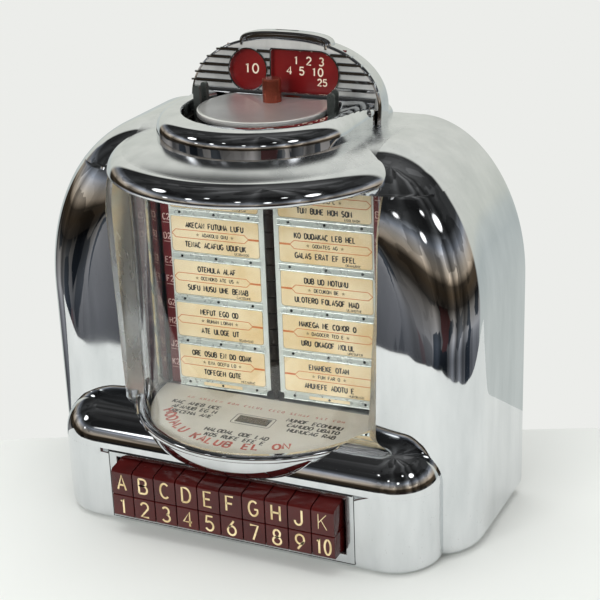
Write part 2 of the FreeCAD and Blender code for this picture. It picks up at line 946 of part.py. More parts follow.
def crown_block(inset, y0, y1):
    """The arched block of the crown between two depths."""
    points = crown_edge_points(inset)
    base = crown_base_z + (inset if inset else 0.0)
    right = [Vector(x, y0, crown_base_z + h) for x, h in points]
    left = [Vector(-x, y0, crown_base_z + h) for x, h in points]
    right[0].z = base
    left[0].z = base
    edges = [
        curve_through(right),
        curve_through(left),
        Part.LineSegment(left[0], right[0]).toShape(),
    ]
    face = Part.Face(Part.Wire(Part.__sortEdges__(edges)))
    return face.extrude(Vector(0, y1 - y0, 0))


def lean(shape):
    """Lean a piece of the crown back about the front edge of its foot."""
    tilted = shape.copy()
    tilted.rotate(Vector(0, crown_face_y, crown_base_z), Vector(1, 0, 0), -crown_lean)
    return tilted


def price_window(grow, y0, y1):
    """The window with one round end, as a block between two depths."""
    z = crown_base_z + coin_window_z
    half = price_window_half_height + grow
    centre = price_window_right - price_window_half_height
    block = box(price_window_left - grow, centre, y0, y1, z - half, z + half)
    return fuse([block, rod_y(half, centre, z, y0, y1)])


def coin_window(grow, y0, y1):
    """The round window as a block between two depths."""
    return rod_y(coin_window_radius + grow, coin_window_x, crown_base_z + coin_window_z, y0, y1)


def hooded(block):
    """Round the upper back edges of the crown's block."""
    back = crown_face_y + crown_depth
    hood_edges = []
    for edge in block.Edges:
        ends = [v.Point for v in edge.Vertexes]
        behind = all(abs(p.y - back) < 0.01 for p in ends)
        if behind and max(p.z for p in ends) > crown_base_z + 5:
            hood_edges.append(edge)
    return block.makeFillet(crown_hood_round, hood_edges)


def crown_cap():
    """The raised cap on top of the crown, with rounded ends."""
    y = crown_face_y + 2.0
    top = crown_base_z + crown_height
    cap = box(-cap_half_width, cap_half_width, y, y + cap_depth, top - cap_height, top + cap_height)
    ends = []
    for edge in cap.Edges:
        a, b = edge.Vertexes[0].Point, edge.Vertexes[1].Point
        if min(a.z, b.z) > top and abs(a.y - b.y) > 1:
            ends.append(edge)
    return cap.makeFillet(cap_height - 0.5, ends)


def crown_fins():
    """The level fins across the crown's face."""
    y = crown_face_y
    fins = []
    for step in range(fin_count):
        height = fin_first + step * fin_pitch
        half = crown_half_width * math.sqrt(max(0.1, 1.0 - (height / (crown_height + 2)) ** 2))
        z = crown_base_z + height
        fins.append(box(-half + 3.0, half - 3.0, y - fin_reach, y + 1.0, z, z + fin_height))
    return fins


def crown():
    """The finned crown: face, hood behind it, cap on top with the coin slot."""
    y = crown_face_y
    top = crown_base_z + crown_height
    roll = rod_x(crown_roll_radius, y + 1.0, crown_base_z + crown_roll_radius,
                 -crown_half_width + 3, crown_half_width - 3)
    body = fuse([hooded(crown_block(0.0, y, y + crown_depth)), crown_cap(), roll] + crown_fins())
    hollow = crown_block(crown_wall, y + crown_wall, y + crown_depth - crown_wall)
    hollow = hollow.common(box(-far_side, far_side, 0, far_side, crown_base_z + crown_floor, reach_far))
    cap_room = box(-cap_half_width + crown_wall, cap_half_width - crown_wall, y + 2.0 + crown_wall,
                   y + 2.0 + cap_depth - crown_wall, top - 12.0, top + cap_height - crown_wall)
    body = body.cut(fuse([hollow, cap_room]))
    back = y + crown_wall + 1.0
    windows = [coin_window(0.0, y - 10, back), price_window(0.0, y - 10, back)]
    frames = fuse([coin_window(window_frame, y - fin_reach, y + 1), price_window(window_frame, y - fin_reach, y + 1)])
    body = fuse([body, frames]).cut(windows)
    slot_y = y + coin_slot_y
    body = body.cut(box(-coin_slot_half, coin_slot_half, slot_y, slot_y + coin_slot_width,
                        top - coin_slot_depth, top + 2 * cap_height))
    body = lean(body).cut([tier_body(0.0), case_body(0.0)])
    chute_hole = chute_half_width + 1.0
    body = body.cut(box(-chute_hole, chute_hole, chute_front_y - 1.0, y + crown_depth - crown_wall,
                        deck_z - 5.0, crown_base_z + crown_floor + 2.0))
    for x in crown_screw_places():
        body = body.cut(post(screw_radius + screw_hole_gap, x, crown_screw_y, deck_z - 1.0,
                             deck_z + crown_screw_depth + fit))
    return body


def crown_insert():
    """The red translucent plate behind both windows."""
    y = crown_face_y + crown_wall
    middle = crown_base_z + coin_window_z
    left = coin_window_x - coin_window_radius - insert_margin
    right = price_window_right + insert_margin
    front = y + insert_seat
    block = box(left, right, front, front + insert_thickness, crown_base_z + crown_floor,
                middle + price_window_half_height + insert_margin / 2)
    inside = crown_block(crown_wall + fit, y - wall, y + 2 * wall)
    return lean(block.common(inside))


# ---------------------------------------------------------------------------
# Keys, bezel and what is behind them
# ---------------------------------------------------------------------------

def key_solid(column, low, high, bevel_low, bevel_high, lip_low, lip_high):
    """One key: a cap with a bevelled front, its flange and its stem."""
    x0 = (column - key_count / 2) * key_pitch + key_gap / 2
    x1 = x0 + key_pitch - key_gap
    front = key_front_y
    back = housing_front_y + bezel_face + fit
    top_rise = key_top_rise if lip_high else 0.0
    outline = [
        (front, low + bevel_low),
        (front, high - bevel_high),
        (front + bevel_high, high),
        (back, high + top_rise),
        (back, high + top_rise + lip_high),
        (back + flange_thickness, high + top_rise + lip_high),
        (back + flange_thickness, low - lip_low),
        (back, low - lip_low),
        (back, low),
        (front + bevel_low, low),
    ]
    face = polygon_face([Vector(x0, y, z) for y, z in outline])
    cap = face.extrude(Vector(x1 - x0, 0, 0))
    sides = []
    for edge in cap.Edges:
        ends = [v.Point for v in edge.Vertexes]
        if all(abs(p.y - front) < 0.01 for p in ends) and abs(ends[0].z - ends[1].z) > 5:
            sides.append(edge)
    cap = cap.makeFillet(key_edge_round, sides)
    centre_x = (x0 + x1) / 2
    centre_z = (low + high) / 2
    half = stem_size / 2
    stem_back = guide_front_y + guide_thickness + stem_overrun
    stem = box(centre_x - half, centre_x + half, back + flange_thickness - 0.5, stem_back,
               centre_z - half, centre_z + half)
    return fuse([cap, stem])


def letter_key(column):
    """A key of the upper row."""
    return key_solid(column, letter_bottom_z, letter_top_z, 0.4, key_bevel, 0.0, flange_lip)


def number_key(column):
    """A key of the lower row."""
    return key_solid(column, number_bottom_z, number_top_z, key_bevel * 0.7, 0.4, flange_lip, 0.0)


def key_centres():
    """The middle of every key stem, as (x, z)."""
    centres = []
    for column in range(key_count):
        x = (column + 0.5 - key_count / 2) * key_pitch
        centres.append((x, (letter_bottom_z + letter_top_z) / 2))
        centres.append((x, (number_bottom_z + number_top_z) / 2))
    return centres


def key_bezel():
    """The plate round the keys, let into the housing, with a flange behind."""
    y = housing_front_y
    face = box(-bezel_half_width, bezel_half_width, y, y + wall, bezel_bottom_z, bezel_top_z)
    reach = bezel_half_width + bezel_flange_reach
    flange = box(-reach, reach, y + wall, y + wall + bezel_flange, bezel_bottom_z + bezel_flange_lift, bezel_top_z)
    plate = fuse([face, flange])
    half = key_opening_half
    back = y + wall + 2 * bezel_flange
    plate = plate.cut(box(-half, half, y - wall, back, key_opening_bottom_z, key_opening_top_z))
    plate = plate.cut(box(-half, half, y + bezel_face, back, number_bottom_z - flange_lip - 3 * fit,
                          letter_top_z + key_top_rise + flange_lip + 3 * fit))
    for x, z in bezel_screw_places():
        plate = plate.cut(rod_y(bezel_screw_radius + screw_hole_gap, x, z, y, back))
    return plate


def key_guide():
    """The guide plate for the stems, with its foot on the pan and the latch bar's brackets."""
    low = pan_bottom_z + pan_thickness
    y0 = guide_front_y
    y1 = y0 + guide_thickness
    half = guide_half_width
    parts = [box(-half, half, y0, y1, low, guide_top_z), box(-half, half, y1, y1 + guide_foot, low, low + 2.0)]
    for side in (-1, 1):
        x = side * bracket_pitches * key_pitch - bracket_width / 2
        parts.append(box(x, x + bracket_width, y1, y1 + latch_thickness + 2 * fit + bracket_lip,
                         low, latch_top_z + fit + bracket_lip))
    guide = fuse(parts)
    guide = guide.cut(box(-half, half, y1, y1 + latch_thickness + 2 * fit, latch_bottom_z - fit, latch_top_z + fit))
    hole = stem_size / 2 + stem_clearance
    holes = [box(x - hole, x + hole, y0 - 1, y1 + 1, z - hole, z + hole) for x, z in key_centres()]
    return guide.cut(holes)


def key_springs():
    """The return springs round the stems, standing on the guide."""
    flange_back = housing_front_y + bezel_face + fit + flange_thickness
    length = guide_front_y - (flange_back + key_travel) - fit
    inner = stem_size / 2 + spring_gap
    springs = []
    for x, z in key_centres():
        tube = rod_y(inner + spring_wall, x, z, guide_front_y - length, guide_front_y)
        springs.append(tube.cut(rod_y(inner, x, z, -far_side, 0)))
    return Part.makeCompound(springs)


def latch_bar():
    """The sliding bar under the lower stems that holds a pressed key."""
    y0 = guide_front_y + guide_thickness + fit
    return box(-latch_half_width, latch_half_width, y0, y0 + latch_thickness, latch_bottom_z, latch_top_z)


def switches_front_y():
    """Where the contacts begin: just past the end of a pressed key's stem."""
    return guide_front_y + guide_thickness + stem_overrun + key_travel + fit


def key_switches():
    """The contact strip that the stems reach at the end of their travel."""
    y0 = switches_front_y()
    low = pan_bottom_z + pan_thickness
    half = blade_size / 2
    parts = [box(-guide_half_width, guide_half_width, y0 + blade_reach, y0 + blade_reach + switch_depth,
                 low, switch_top_z)]
    for x, z in key_centres():
        parts.append(box(x - half, x + half, y0, y0 + blade_reach + 0.5, z - half, z + half))
    return fuse(parts)


# ---------------------------------------------------------------------------
# Back plate, pan and works
# ---------------------------------------------------------------------------

def lock_catch():
    """The bracket on the back plate that the cam hooks behind."""
    back = case_back_y - plate_thickness
    x0 = lock_face_x() + lock_length + fit + cam_thickness + fit
    z0 = lock_z - catch_half_height
    z1 = lock_z + catch_half_height
    leg = box(x0, x0 + catch_thickness, lock_y + catch_overlap, back, z0, z1)
    foot = box(x0, x0 + catch_foot, back - catch_thickness, back, z0, z1)
    return fuse([leg, foot])


def back_plate():
    """The steel back, let into the rim of the cover, with its mounting holes, catch and cable hole."""
    outline = case_section(case_back_y, wall + plate_gap)
    rim = spline_through(outline, spaced(outline)).toShape()
    plate = closed_by_base([rim]).extrude(Vector(0, -plate_thickness, 0))
    holes = [rod_y(inlet_radius, inlet_x, inlet_z, 0, far_side)]
    for x in (-mount_half_x, mount_half_x):
        for z in (mount_low_z, mount_high_z):
            holes.append(rod_y(mount_hole_radius, x, z, 0, far_side))
    for x in pan_screw_x:
        holes.append(rod_y(screw_radius + screw_hole_gap, x, pan_screw_z, 0, far_side))
    return fuse([plate.cut(holes), lock_catch()])


def chassis_pan():
    """The bottom pan on its pads, with the back flange and the stand of the pilot lamp."""
    back = case_back_y - plate_thickness
    high = pan_bottom_z + pan_thickness
    half = pan_half_width
    parts = [
        box(-half, half, pan_front_y, back, pan_bottom_z, high),
        box(-half, half, back - pan_thickness, back, pan_bottom_z, pan_flange_top_z),
    ]
    for x in (-pad_x, pad_x):
        for y in (pad_front_y, pad_back_y):
            parts.append(post(pad_radius, x, y, wall, pan_bottom_z))
    y0 = switches_front_y() + blade_reach + switch_depth + stand_gap
    x0 = lens_centre_x - stand_half_width
    x1 = lens_centre_x + stand_half_width
    parts.append(box(x0, x1, y0, y0 + stand_thickness, high, stand_top_z + stand_shelf))
    parts.append(box(x0, x1, lens_front_y, y0 + stand_thickness, stand_top_z + fit, stand_top_z + stand_shelf))
    pan = fuse(parts)
    holes = [rod_y(inlet_radius + gland_wall + fit, inlet_x, inlet_z, 0, far_side)]
    for x in pan_screw_x:
        holes.append(rod_y(screw_radius + screw_hole_gap, x, pan_screw_z, 0, far_side))
    return pan.cut(holes)


def selector_motor():
    """The small motor that turns the wiper, fixed to the back plate."""
    back = case_back_y - plate_thickness
    front = wiper_disc_y + 8.0
    can = rod_y(motor_radius, motor_x, motor_z, front, back)
    shaft = rod_y(shaft_radius, motor_x, motor_z, wiper_disc_y - 8.0, front)
    feet = box(motor_x - motor_foot, motor_x + motor_foot, back - 3.0, back, motor_z - 5.0, motor_z + 5.0)
    return fuse([can, shaft, feet])


def contact_disc():
    """The fixed disc of contacts in front of the motor, on two stand-offs."""
    y = wiper_disc_y
    disc = rod_y(wiper_disc_radius, motor_x, motor_z, y, y + wiper_disc_thickness)
    disc = disc.cut(rod_y(shaft_radius + shaft_hole_gap, motor_x, motor_z, y - 5, y + 10))
    parts = [disc]
    for side in (-1, 1):
        parts.append(rod_y(leg_radius, motor_x + side * stud_circle, motor_z + leg_rise, y + 1.0,
                           case_back_y - plate_thickness))
    for step in range(stud_count):
        angle = 2 * math.pi * step / stud_count
        parts.append(rod_y(stud_radius, motor_x + stud_circle * math.cos(angle),
                           motor_z + stud_circle * math.sin(angle), y - stud_reach, y + 1.0))
    return fuse(parts)


def wiper_arm():
    """The arm that sweeps over the contacts."""
    y = wiper_disc_y - wiper_setback
    x = motor_x
    z = motor_z
    tip_z = z + stud_circle
    hub = rod_y(wiper_hub_radius, x, z, y, y + wiper_hub_length)
    arm = box(x - 3.0, x + 3.0, y, y + wiper_sheet, z, tip_z + 2.0)
    tail = box(x - 2.0, x + 2.0, y, y + wiper_sheet, z - wiper_tail, z)
    tip = box(x - 2.0, x + 2.0, y, wiper_disc_y - stud_reach - fit, tip_z - 2.0, tip_z + 2.0)
    return fuse([hub, arm, tail, tip]).cut(rod_y(shaft_radius + running_fit, x, z, 0, 100))


def coin_mechanism():
    """The coin tester: a plated box on the pan with a coin way in its top and a ramp inside."""
    low = pan_bottom_z + pan_thickness
    t = coin_box_wall
    x0, x1 = coin_box_x0, coin_box_x1
    y0, y1 = coin_box_front_y, case_back_y - plate_thickness - pan_thickness - fit
    case = box(x0, x1, y0, y1, low, coin_box_top_z)
    case = case.cut(box(x0 + t, x1 - t, y0 + t, y1 - t, low + t, coin_box_top_z - t))
    inner = chute_half_width - chute_wall
    case = case.cut(box(-inner, inner, chute_front_y + chute_wall, chute_back_y - chute_wall,
                        coin_box_top_z - t - 1.0, coin_box_top_z + 1.0))
    start = x0 + t
    end = start + ramp_length
    ramp = polygon_face([
        Vector(start, y0 + 1.0, ramp_high_z),
        Vector(end, y0 + 1.0, ramp_low_z),
        Vector(end, y0 + 1.0, ramp_low_z - ramp_thickness),
        Vector(start, y0 + 1.0, ramp_high_z - ramp_thickness),
    ])
    return fuse([case, ramp.extrude(Vector(0, y1 - y0 - 2.0, 0))])


def coin_chute():
    """The flat tube that leads coins down from the crown to the tester."""
    half = chute_half_width
    t = chute_wall
    tube = box(-half, half, chute_front_y, chute_back_y, coin_box_top_z, chute_top_z)
    tube = tube.cut(box(-half + t, half - t, chute_front_y + t, chute_back_y - t, 0, reach_far))
    ears = box(-half - chute_ear_reach, half + chute_ear_reach, chute_back_y - 0.5 * t,
               case_back_y - plate_thickness, chute_ear_z, chute_ear_z + chute_ear_height)
    return fuse([tube, ears.cut(box(-half + t, half - t, 0, chute_back_y, 0, reach_far))])


def terminal_strip():
    """The screw terminals beside the cable inlet."""
    low = pan_bottom_z + pan_thickness
    high = low + terminal_height
    y0 = terminal_front_y
    y1 = y0 + terminal_depth
    length = terminal_count * terminal_pitch
    parts = [box(terminal_x0, terminal_x0 + length + 1.0, y0, y1, low, high)]
    for n in range(terminal_count + 1):
        x = terminal_x0 + n * terminal_pitch
        parts.append(box(x, x + 1.0, y0, y1, high, high + terminal_fence))
    for n in range(terminal_count):
        x = terminal_x0 + (n + 0.5) * terminal_pitch + 0.5
        parts.append(post(terminal_screw_radius, x, (y0 + y1) / 2, high, high + 1.5))
    return fuse(parts)


def cable_gland():
    """The bush in the cable hole of the back plate."""
    back = case_back_y
    inside = back - plate_thickness
    flange = rod_y(inlet_radius + gland_wall, inlet_x, inlet_z, inside - gland_flange, inside)
    neck = rod_y(inlet_radius - running_fit, inlet_x, inlet_z, inside - 1.0, back)
    bore = rod_y(inlet_radius - gland_wall, inlet_x, inlet_z, 0, far_side)
    return fuse([flange, neck]).cut(bore)


def lamp(x, y, z):
    """A small bulb: a glass ball on its brass cap."""
    cap = post(lamp_cap_radius, x, y, z, z + lamp_cap_height)
    bulb = Part.makeSphere(lamp_bulb_radius, Vector(x, y, z + lamp_bulb_rise))
    return fuse([cap, bulb])


def lamps():
    """The pilot bulb under the lens and the bulb on the crown's floor."""
    crown_bulb = lean(lamp(crown_lamp_x, crown_face_y + crown_depth / 2, crown_base_z + crown_floor))
    pilot = lamp(lens_centre_x, (lens_front_y + lens_back_y) / 2, stand_top_z + stand_shelf)
    return Part.makeCompound([pilot, crown_bulb])


# ---------------------------------------------------------------------------
# Lock and screws
# ---------------------------------------------------------------------------

def lock_face_x():
    """Where the lock's face lies in the left side."""
    return -fender_half_width(lock_y) + lock_inset


def lock_barrel():
    """The lock's fixed barrel in the left side, with its nut inside the wall."""
    x0 = lock_face_x()
    barrel = rod_x(lock_radius, lock_y, lock_z, x0, x0 + lock_length)
    nut_x = -fender_half_width(lock_y) + wall + 2 * fit
    nut = rod_x(lock_radius + lock_nut_reach, lock_y, lock_z, nut_x, nut_x + lock_nut_depth)
    bore = rod_x(lock_plug_radius + running_fit, lock_y, lock_z, x0 - 5, x0 + lock_length + 5)
    return fuse([barrel, nut]).cut(bore)


def lock_plug():
    """The plug that the key turns, with its cam behind the barrel."""
    x0 = lock_face_x()
    cam_x = x0 + lock_length + fit
    plug = rod_x(lock_plug_radius, lock_y, lock_z, x0, cam_x)
    key_way = box(x0 - 2.0, x0 + 10.0, lock_y - 0.7, lock_y + 0.7, lock_z - 3.5, lock_z + 3.5)
    hub = rod_x(cam_hub_radius, lock_y, lock_z, cam_x, cam_x + cam_thickness)
    arm = box(cam_x, cam_x + cam_thickness, lock_y, lock_y + cam_length,
              lock_z - cam_height / 2, lock_z + cam_height / 2)
    return fuse([plug.cut(key_way), hub, arm])


def screws():
    """Every screw: three in the pan's flange, four behind the bezel, two under the crown."""
    pieces = []
    back = case_back_y - plate_thickness - pan_thickness
    for x in pan_screw_x:
        head = rod_y(screw_head_radius, x, pan_screw_z, back - screw_head_height, back)
        shank = rod_y(screw_radius, x, pan_screw_z, back - 1.0, case_back_y)
        pieces.append(fuse([head, shank]))
    y = housing_front_y + wall + bezel_flange
    for x, z in bezel_screw_places():
        head = rod_y(bezel_screw_head_radius, x, z, y, y + screw_head_height)
        shank = rod_y(bezel_screw_radius, x, z, housing_front_y + wall - bezel_screw_depth + fit, y + 1.0)
        pieces.append(fuse([head, shank]))
    under = deck_z - wall
    for x in crown_screw_places():
        head = post(screw_head_radius, x, crown_screw_y, under - screw_head_height, under)
        shank = post(screw_radius, x, crown_screw_y, under - 1.0, deck_z + crown_screw_depth)
        pieces.append(fuse([head, shank]))
    return Part.makeCompound(pieces)


# ---------------------------------------------------------------------------
# Every piece, under its name
# ---------------------------------------------------------------------------

save("front_cover", front_cover())
save("key_bezel", key_bezel())
save("key_guide", key_guide())
save("key_springs", key_springs())
save("latch_bar", latch_bar())
save("key_switches", key_switches())
save("window_glass", window_glass())
save("page_shelf", page_shelf())
save("floor_card", floor_card())
save("pilot_lens", pilot_lens())
save("hinge_rod", hinge_rod())
save("fixed_pages", fixed_pages())
save("selection_labels", selection_labels())
save("leaf_frame", leaf_frame())
save("top_disc", top_disc())
save("return_post", return_post())
save("return_spring", return_spring())
save("crown", crown())
save("crown_insert", crown_insert())
save("back_plate", back_plate())
save("chassis_pan", chassis_pan())
save("selector_motor", selector_motor())
save("contact_disc", contact_disc())
save("wiper_arm", wiper_arm())
save("coin_mechanism", coin_mechanism())
save("coin_chute", coin_chute())
save("terminal_strip", terminal_strip())
save("cable_gland", cable_gland())
save("lamps", lamps())
save("lock_barrel", lock_barrel())
save("lock_plug", lock_plug())
save("screws", screws())

left_angles = (front_leaf_angle, front_leaf_angle - leaf_step_angle)
right_angles = (180.0 + front_leaf_angle, 180.0 + front_leaf_angle + leaf_step_angle)
for index, angle in enumerate(left_angles + right_angles):
    save("leaf_" + str(index + 1), title_leaf(index + 1, angle))
    save("leaf_" + str(index + 1) + "_lever", leaf_lever(angle))

letters = "abcdefghjk"
for column in range(key_count):
    save("key_" + letters[column], letter_key(column))
    save("key_" + str(column + 1), number_key(column))
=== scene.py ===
import json
import math
import random

import bmesh
import bpy
import numpy as np
from mathutils import Matrix, Vector


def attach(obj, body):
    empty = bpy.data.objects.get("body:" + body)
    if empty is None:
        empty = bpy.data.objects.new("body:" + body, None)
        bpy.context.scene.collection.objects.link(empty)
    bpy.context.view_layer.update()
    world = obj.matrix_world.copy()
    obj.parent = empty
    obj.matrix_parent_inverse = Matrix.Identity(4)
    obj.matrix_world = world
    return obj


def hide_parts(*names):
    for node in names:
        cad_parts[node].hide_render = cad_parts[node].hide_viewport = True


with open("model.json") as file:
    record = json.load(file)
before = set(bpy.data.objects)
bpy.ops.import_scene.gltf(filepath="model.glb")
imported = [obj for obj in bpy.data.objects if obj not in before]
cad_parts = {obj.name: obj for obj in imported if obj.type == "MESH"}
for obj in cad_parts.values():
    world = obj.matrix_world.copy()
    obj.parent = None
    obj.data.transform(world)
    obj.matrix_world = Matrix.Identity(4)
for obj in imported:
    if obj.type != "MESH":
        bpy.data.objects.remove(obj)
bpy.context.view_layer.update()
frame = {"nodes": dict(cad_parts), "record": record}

# ---------------------------------------------------------------------------
# Sizes, in millimetres. X to the right, the front faces -Y, Z up.
# ---------------------------------------------------------------------------

MM = 0.001

# Case, fenders and shoulders
CASE_HALF = 170.0
CASE_BACK = 92.0
CASE_TOP = 289.0
CROWN_FLAT = 92.0
DRAFT = 1.4
SPRING = 176.0
NOSE_Y = -28.5
NOSE_X = 131.0
FENDER_START = 11.5
FENDER_POWER = 2.2
SHOULDER_START = 36.0
SHOULDER_DROP = 78.0
SHOULDER_POWER = 2.6
FOOT_RADIUS = 12.0
WALL = 3.0

# The fender's edge beside the glass: its turn round the window's axis, in degrees, by height
EDGE_HEIGHTS = (60.0, 84.0, 110.0, 154.0, 189.0, 223.0, 243.0, 262.0)
EDGE_TURNS = (70.0, 71.3, 73.1, 75.5, 78.9, 82.8, 85.9, 89.0)
ROLL_WIDTH = 10.5
ROLL_HEIGHT = 4.5
ROLL_TOP = 262.0
ROLL_SHARES = (0.04, 0.1, 0.18, 0.28, 0.4, 0.52, 0.64, 0.76, 0.88, 0.96, 1.0)
FACE_EDGE = (101.5, -26.3)

# Rows of the fender: points in each, passes that soften its crest, and the heights below the springing
PLAN_POINTS = 150
PLAN_STEP = 0.5
FACE_STEPS = 24
CREST_PASSES = 6
FENDER_ROWS = (12, 30, 60, 75, 80, 83, 85, 87, 89, 92, 96, 100, 105, 110, 115, 120, 125, 130, 136, 142,
               148, 154, 160, 166, 172, 176)

# Window
AXIS_Y = 16.0
GLASS_RADIUS = 94.3
GLASS_THICKNESS = 2.0
GLASS_ANGLE = 83.0
GLASS_GAP = 1.5

# Lower housing and apron
HOUSING_HALF = 149.0
HOUSING_FRONT = -61.0
HOUSING_BACK = 12.0
HOUSING_CORNER = 36.0
HOUSING_TOP = 91.0
HOUSING_ROUND = 30.0
HOUSING_BASE_ROUND = 9.0
WALL_TOP = HOUSING_TOP - HOUSING_ROUND
PAW_POINTS = 70
RIM_ROUND = 1.4
RIM_RADIUS = 99.5 + RIM_ROUND
RIM_FOOT = 85.0
KEYHOLE_HALF = 95.0
KEYHOLE_LOW = 8.0
KEYHOLE_HIGH = 58.5

# Dome
BRIM_TOP = 272.0
BRIM_LIP = (93.0, 267.0)
BRIM_FOOT = (104.0, 266.6)
BRIM_EDGE = (108.0, 269.4)
BRIM_SHOULDER = (96.5, 281.5)
BRIM_TURN = 118
TIER_RADIUS = 71.5
TIER_TOP = 306.0
TIER_SOFT = 11.0
TIER_FOOT = 279.0
TIER_BACK = 91.5
DECK_TOP = 300.0
DECK_FRONT = 53.0
DECK_CORNER = 5.0
OPENING_RADIUS = 55.0
OPENING_Y = 20.0
OPENING_ROUND = 2.0

# The curl at each foot of the crown: place along it and radius
CURL_PLACE = (TIER_RADIUS - 1.0, DECK_FRONT - 6.0, 299.0)
CURL_ROUNDS = ((-1.2, 0.2), (-1.0, 1.8), (-0.6, 2.8), (0.4, 3.2), (1.2, 3.0), (1.9, 2.2), (2.0, 0.2))

# Crown
CROWN_FACE = 55.5
CROWN_BASE = 299.0
CROWN_HALF = 75.0
CROWN_HEIGHT = 47.0
CROWN_DEPTH = 22.0
CAP_HIGH = 4.2
CAP_HALF = 36.0
CROWN_LEAN = 5.0
COIN_X = -27.5
COIN_RADIUS = 14.5
PRICE_LEFT = -9.0
PRICE_RIGHT = 43.0
PRICE_HALF = 15.5
CROWN_WINDOW_Z = 22.5
CROWN_EDGE = 2.2
HOOD_ROUND = 9.0
HOOD_FOOT = -12.0
FRAME_GROW = 1.2

# A window's frame, as (growth, depth), and the cap's steps, as (inset, depth)
FRAME_STEPS = ((FRAME_GROW, 0.0), (1.2, -1.2), (0.9, -1.6), (0.3, -1.6), (0.0, -1.2), (0.0, 4.0))
CAP_STEPS = ((2.6, 1.2), (2.6, -0.6), (2.3, -1.0), (1.7, -1.0), (1.4, -0.6), (1.4, 0.8), (1.1, 1.2),
             (0.6, 1.2), (0.3, 1.8), (0.0, 3.6), (0.0, 9.6), (0.6, 11.0), (2.4, 11.8))

# Title leaves
ROD_Y = 23.5
LEAF_LEFT = -79.7
PAGE_LOW = 84.0
PAGE_HIGH = 258.0
PAGE_ROWS = 5
BAR_HEIGHT = 6.0

# Keys
KEY_PITCH = 17.7
KEY_WIDTH = 16.8
KEY_COUNT = 10
KEY_FRONT = -74.5
LETTERS = "ABCDEFGHJK"

# Places in each piece's list of finishes; PAINTED_SHADE is the near-black painted shade of hollows and
# openings
PLAIN, PAINTED_SHADE, LINED, HAZY = range(4)
SHEET, BAR, PAPER, INK, ORANGE, EDGE, KNUCKLE = range(7)
CARD, PRINT, RED = range(3)


# ---------------------------------------------------------------------------
# Meshes
# ---------------------------------------------------------------------------

class Shell:
    """Patches of one piece, gathered in millimetres and welded into one mesh."""

    def __init__(self):
        self.points = []
        self.faces = []
        self.finishes = []

    def add(self, points, faces, finish=0, inside=None):
        """Add faces over their own points; with a point inside given, they are turned outward."""
        points = [Vector(p) for p in points]
        if inside is not None and faces:
            vote = 0.0
            for face in faces:
                a, b, c = (points[n] for n in face[:3])
                normal = (b - a).cross(c - a)
                if len(face) > 3:
                    normal = normal + (c - a).cross(points[face[3]] - a)
                vote += normal.dot(a - Vector(inside))
            if vote < 0:
                faces = [tuple(reversed(face)) for face in faces]
        start = len(self.points)
        self.points += points
        self.faces += [tuple(n + start for n in face) for face in faces]
        self.finishes += [finish] * len(faces)

    def merge(self, other):
        """Take in another shell's patches with their finishes."""
        start = len(self.finishes)
        self.add(other.points, other.faces)
        self.finishes[start:] = other.finishes

    def grid(self, rows, finish=0, inside=None, around=False):
        """Add the surface through rows of points; around joins each row's end to its start."""
        width = len(rows[0])
        points = [p for row in rows for p in row]
        faces = []
        for r in range(len(rows) - 1):
            for c in range(width if around else width - 1):
                d = (c + 1) % width
                faces.append((r * width + c, r * width + d, (r + 1) * width + d, (r + 1) * width + c))
        self.add(points, faces, finish, inside)

    def both_sides(self, rows, finish, inside):
        """Add a surface and its mirror on the other side."""
        self.grid(rows, finish, inside)
        self.grid([mirrored(row) for row in rows], finish, mirrored([inside])[0])

    def caps(self, rows, finish=0, inside=None):
        """Close each row of points with one flat face."""
        for row in rows:
            self.add(row, [tuple(range(len(row)))], finish, inside)

    def block(self, low, high, finish=0):
        """Add a plain block between two corners."""
        (x0, y0, z0), (x1, y1, z1) = low, high
        points = [(x, y, z) for x in (x0, x1) for y in (y0, y1) for z in (z0, z1)]
        faces = [(0, 1, 3, 2), (4, 6, 7, 5), (0, 4, 5, 1), (2, 3, 7, 6), (0, 2, 6, 4), (1, 5, 7, 3)]
        middle = ((x0 + x1) / 2, (y0 + y1) / 2, (z0 + z1) / 2)
        self.add(points, faces, finish, middle)

    def place(self, matrix):
        """Turn and move everything gathered so far."""
        self.points = [matrix @ p for p in self.points]
        return self

    def piece(self, name, finishes, crease=35.0, bevel=0.0):
        """Make the welded object, smooth but for its creases."""
        mesh = bpy.data.meshes.new(name)
        mesh.from_pydata([p * MM for p in self.points], [], self.faces)
        for n, polygon in enumerate(mesh.polygons):
            polygon.material_index = self.finishes[n]
        weld(mesh, bevel)
        for finish in finishes:
            mesh.materials.append(FINISHES[finish])
        smooth(mesh, crease)
        return linked(name, mesh)


def linked(name, data):
    """A new object, linked into the scene."""
    made = bpy.data.objects.new(name, data)
    bpy.context.scene.collection.objects.link(made)
    return made


def evaluated_mesh(carrier):
    """The mesh that an object comes to with its modifiers; the object itself is removed."""
    bpy.context.view_layer.update()
    mesh = bpy.data.meshes.new_from_object(carrier.evaluated_get(bpy.context.evaluated_depsgraph_get()))
    bpy.data.objects.remove(carrier)
    return mesh


def smooth(mesh, crease):
    """Shade a mesh smooth, with its edges sharp from an angle up."""
    mesh.shade_smooth()
    mesh.set_sharp_from_angle(angle=math.radians(crease))


def weld(mesh, bevel):
    """Merge doubles, drop faces with no area, and round the sharp edges of a small piece."""
    shape = bmesh.new()
    shape.from_mesh(mesh)
    bmesh.ops.remove_doubles(shape, verts=shape.verts, dist=0.004 * MM)
    bmesh.ops.dissolve_degenerate(shape, edges=shape.edges, dist=0.002 * MM)
    if bevel:
        sharp = [e for e in shape.edges if e.is_manifold and e.calc_face_angle(0.0) > math.radians(40)]
        bmesh.ops.bevel(shape, geom=sharp, offset=bevel * MM, segments=3, profile=0.5,
                        affect="EDGES", clamp_overlap=True)
    shape.to_mesh(mesh)
    shape.free()


def settle(piece, body, slot, *nodes):
    """Say which body a piece rides and which nodes it stands for; the finish slot argument is not used."""
    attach(piece, body)
    if nodes:
        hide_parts(*nodes)


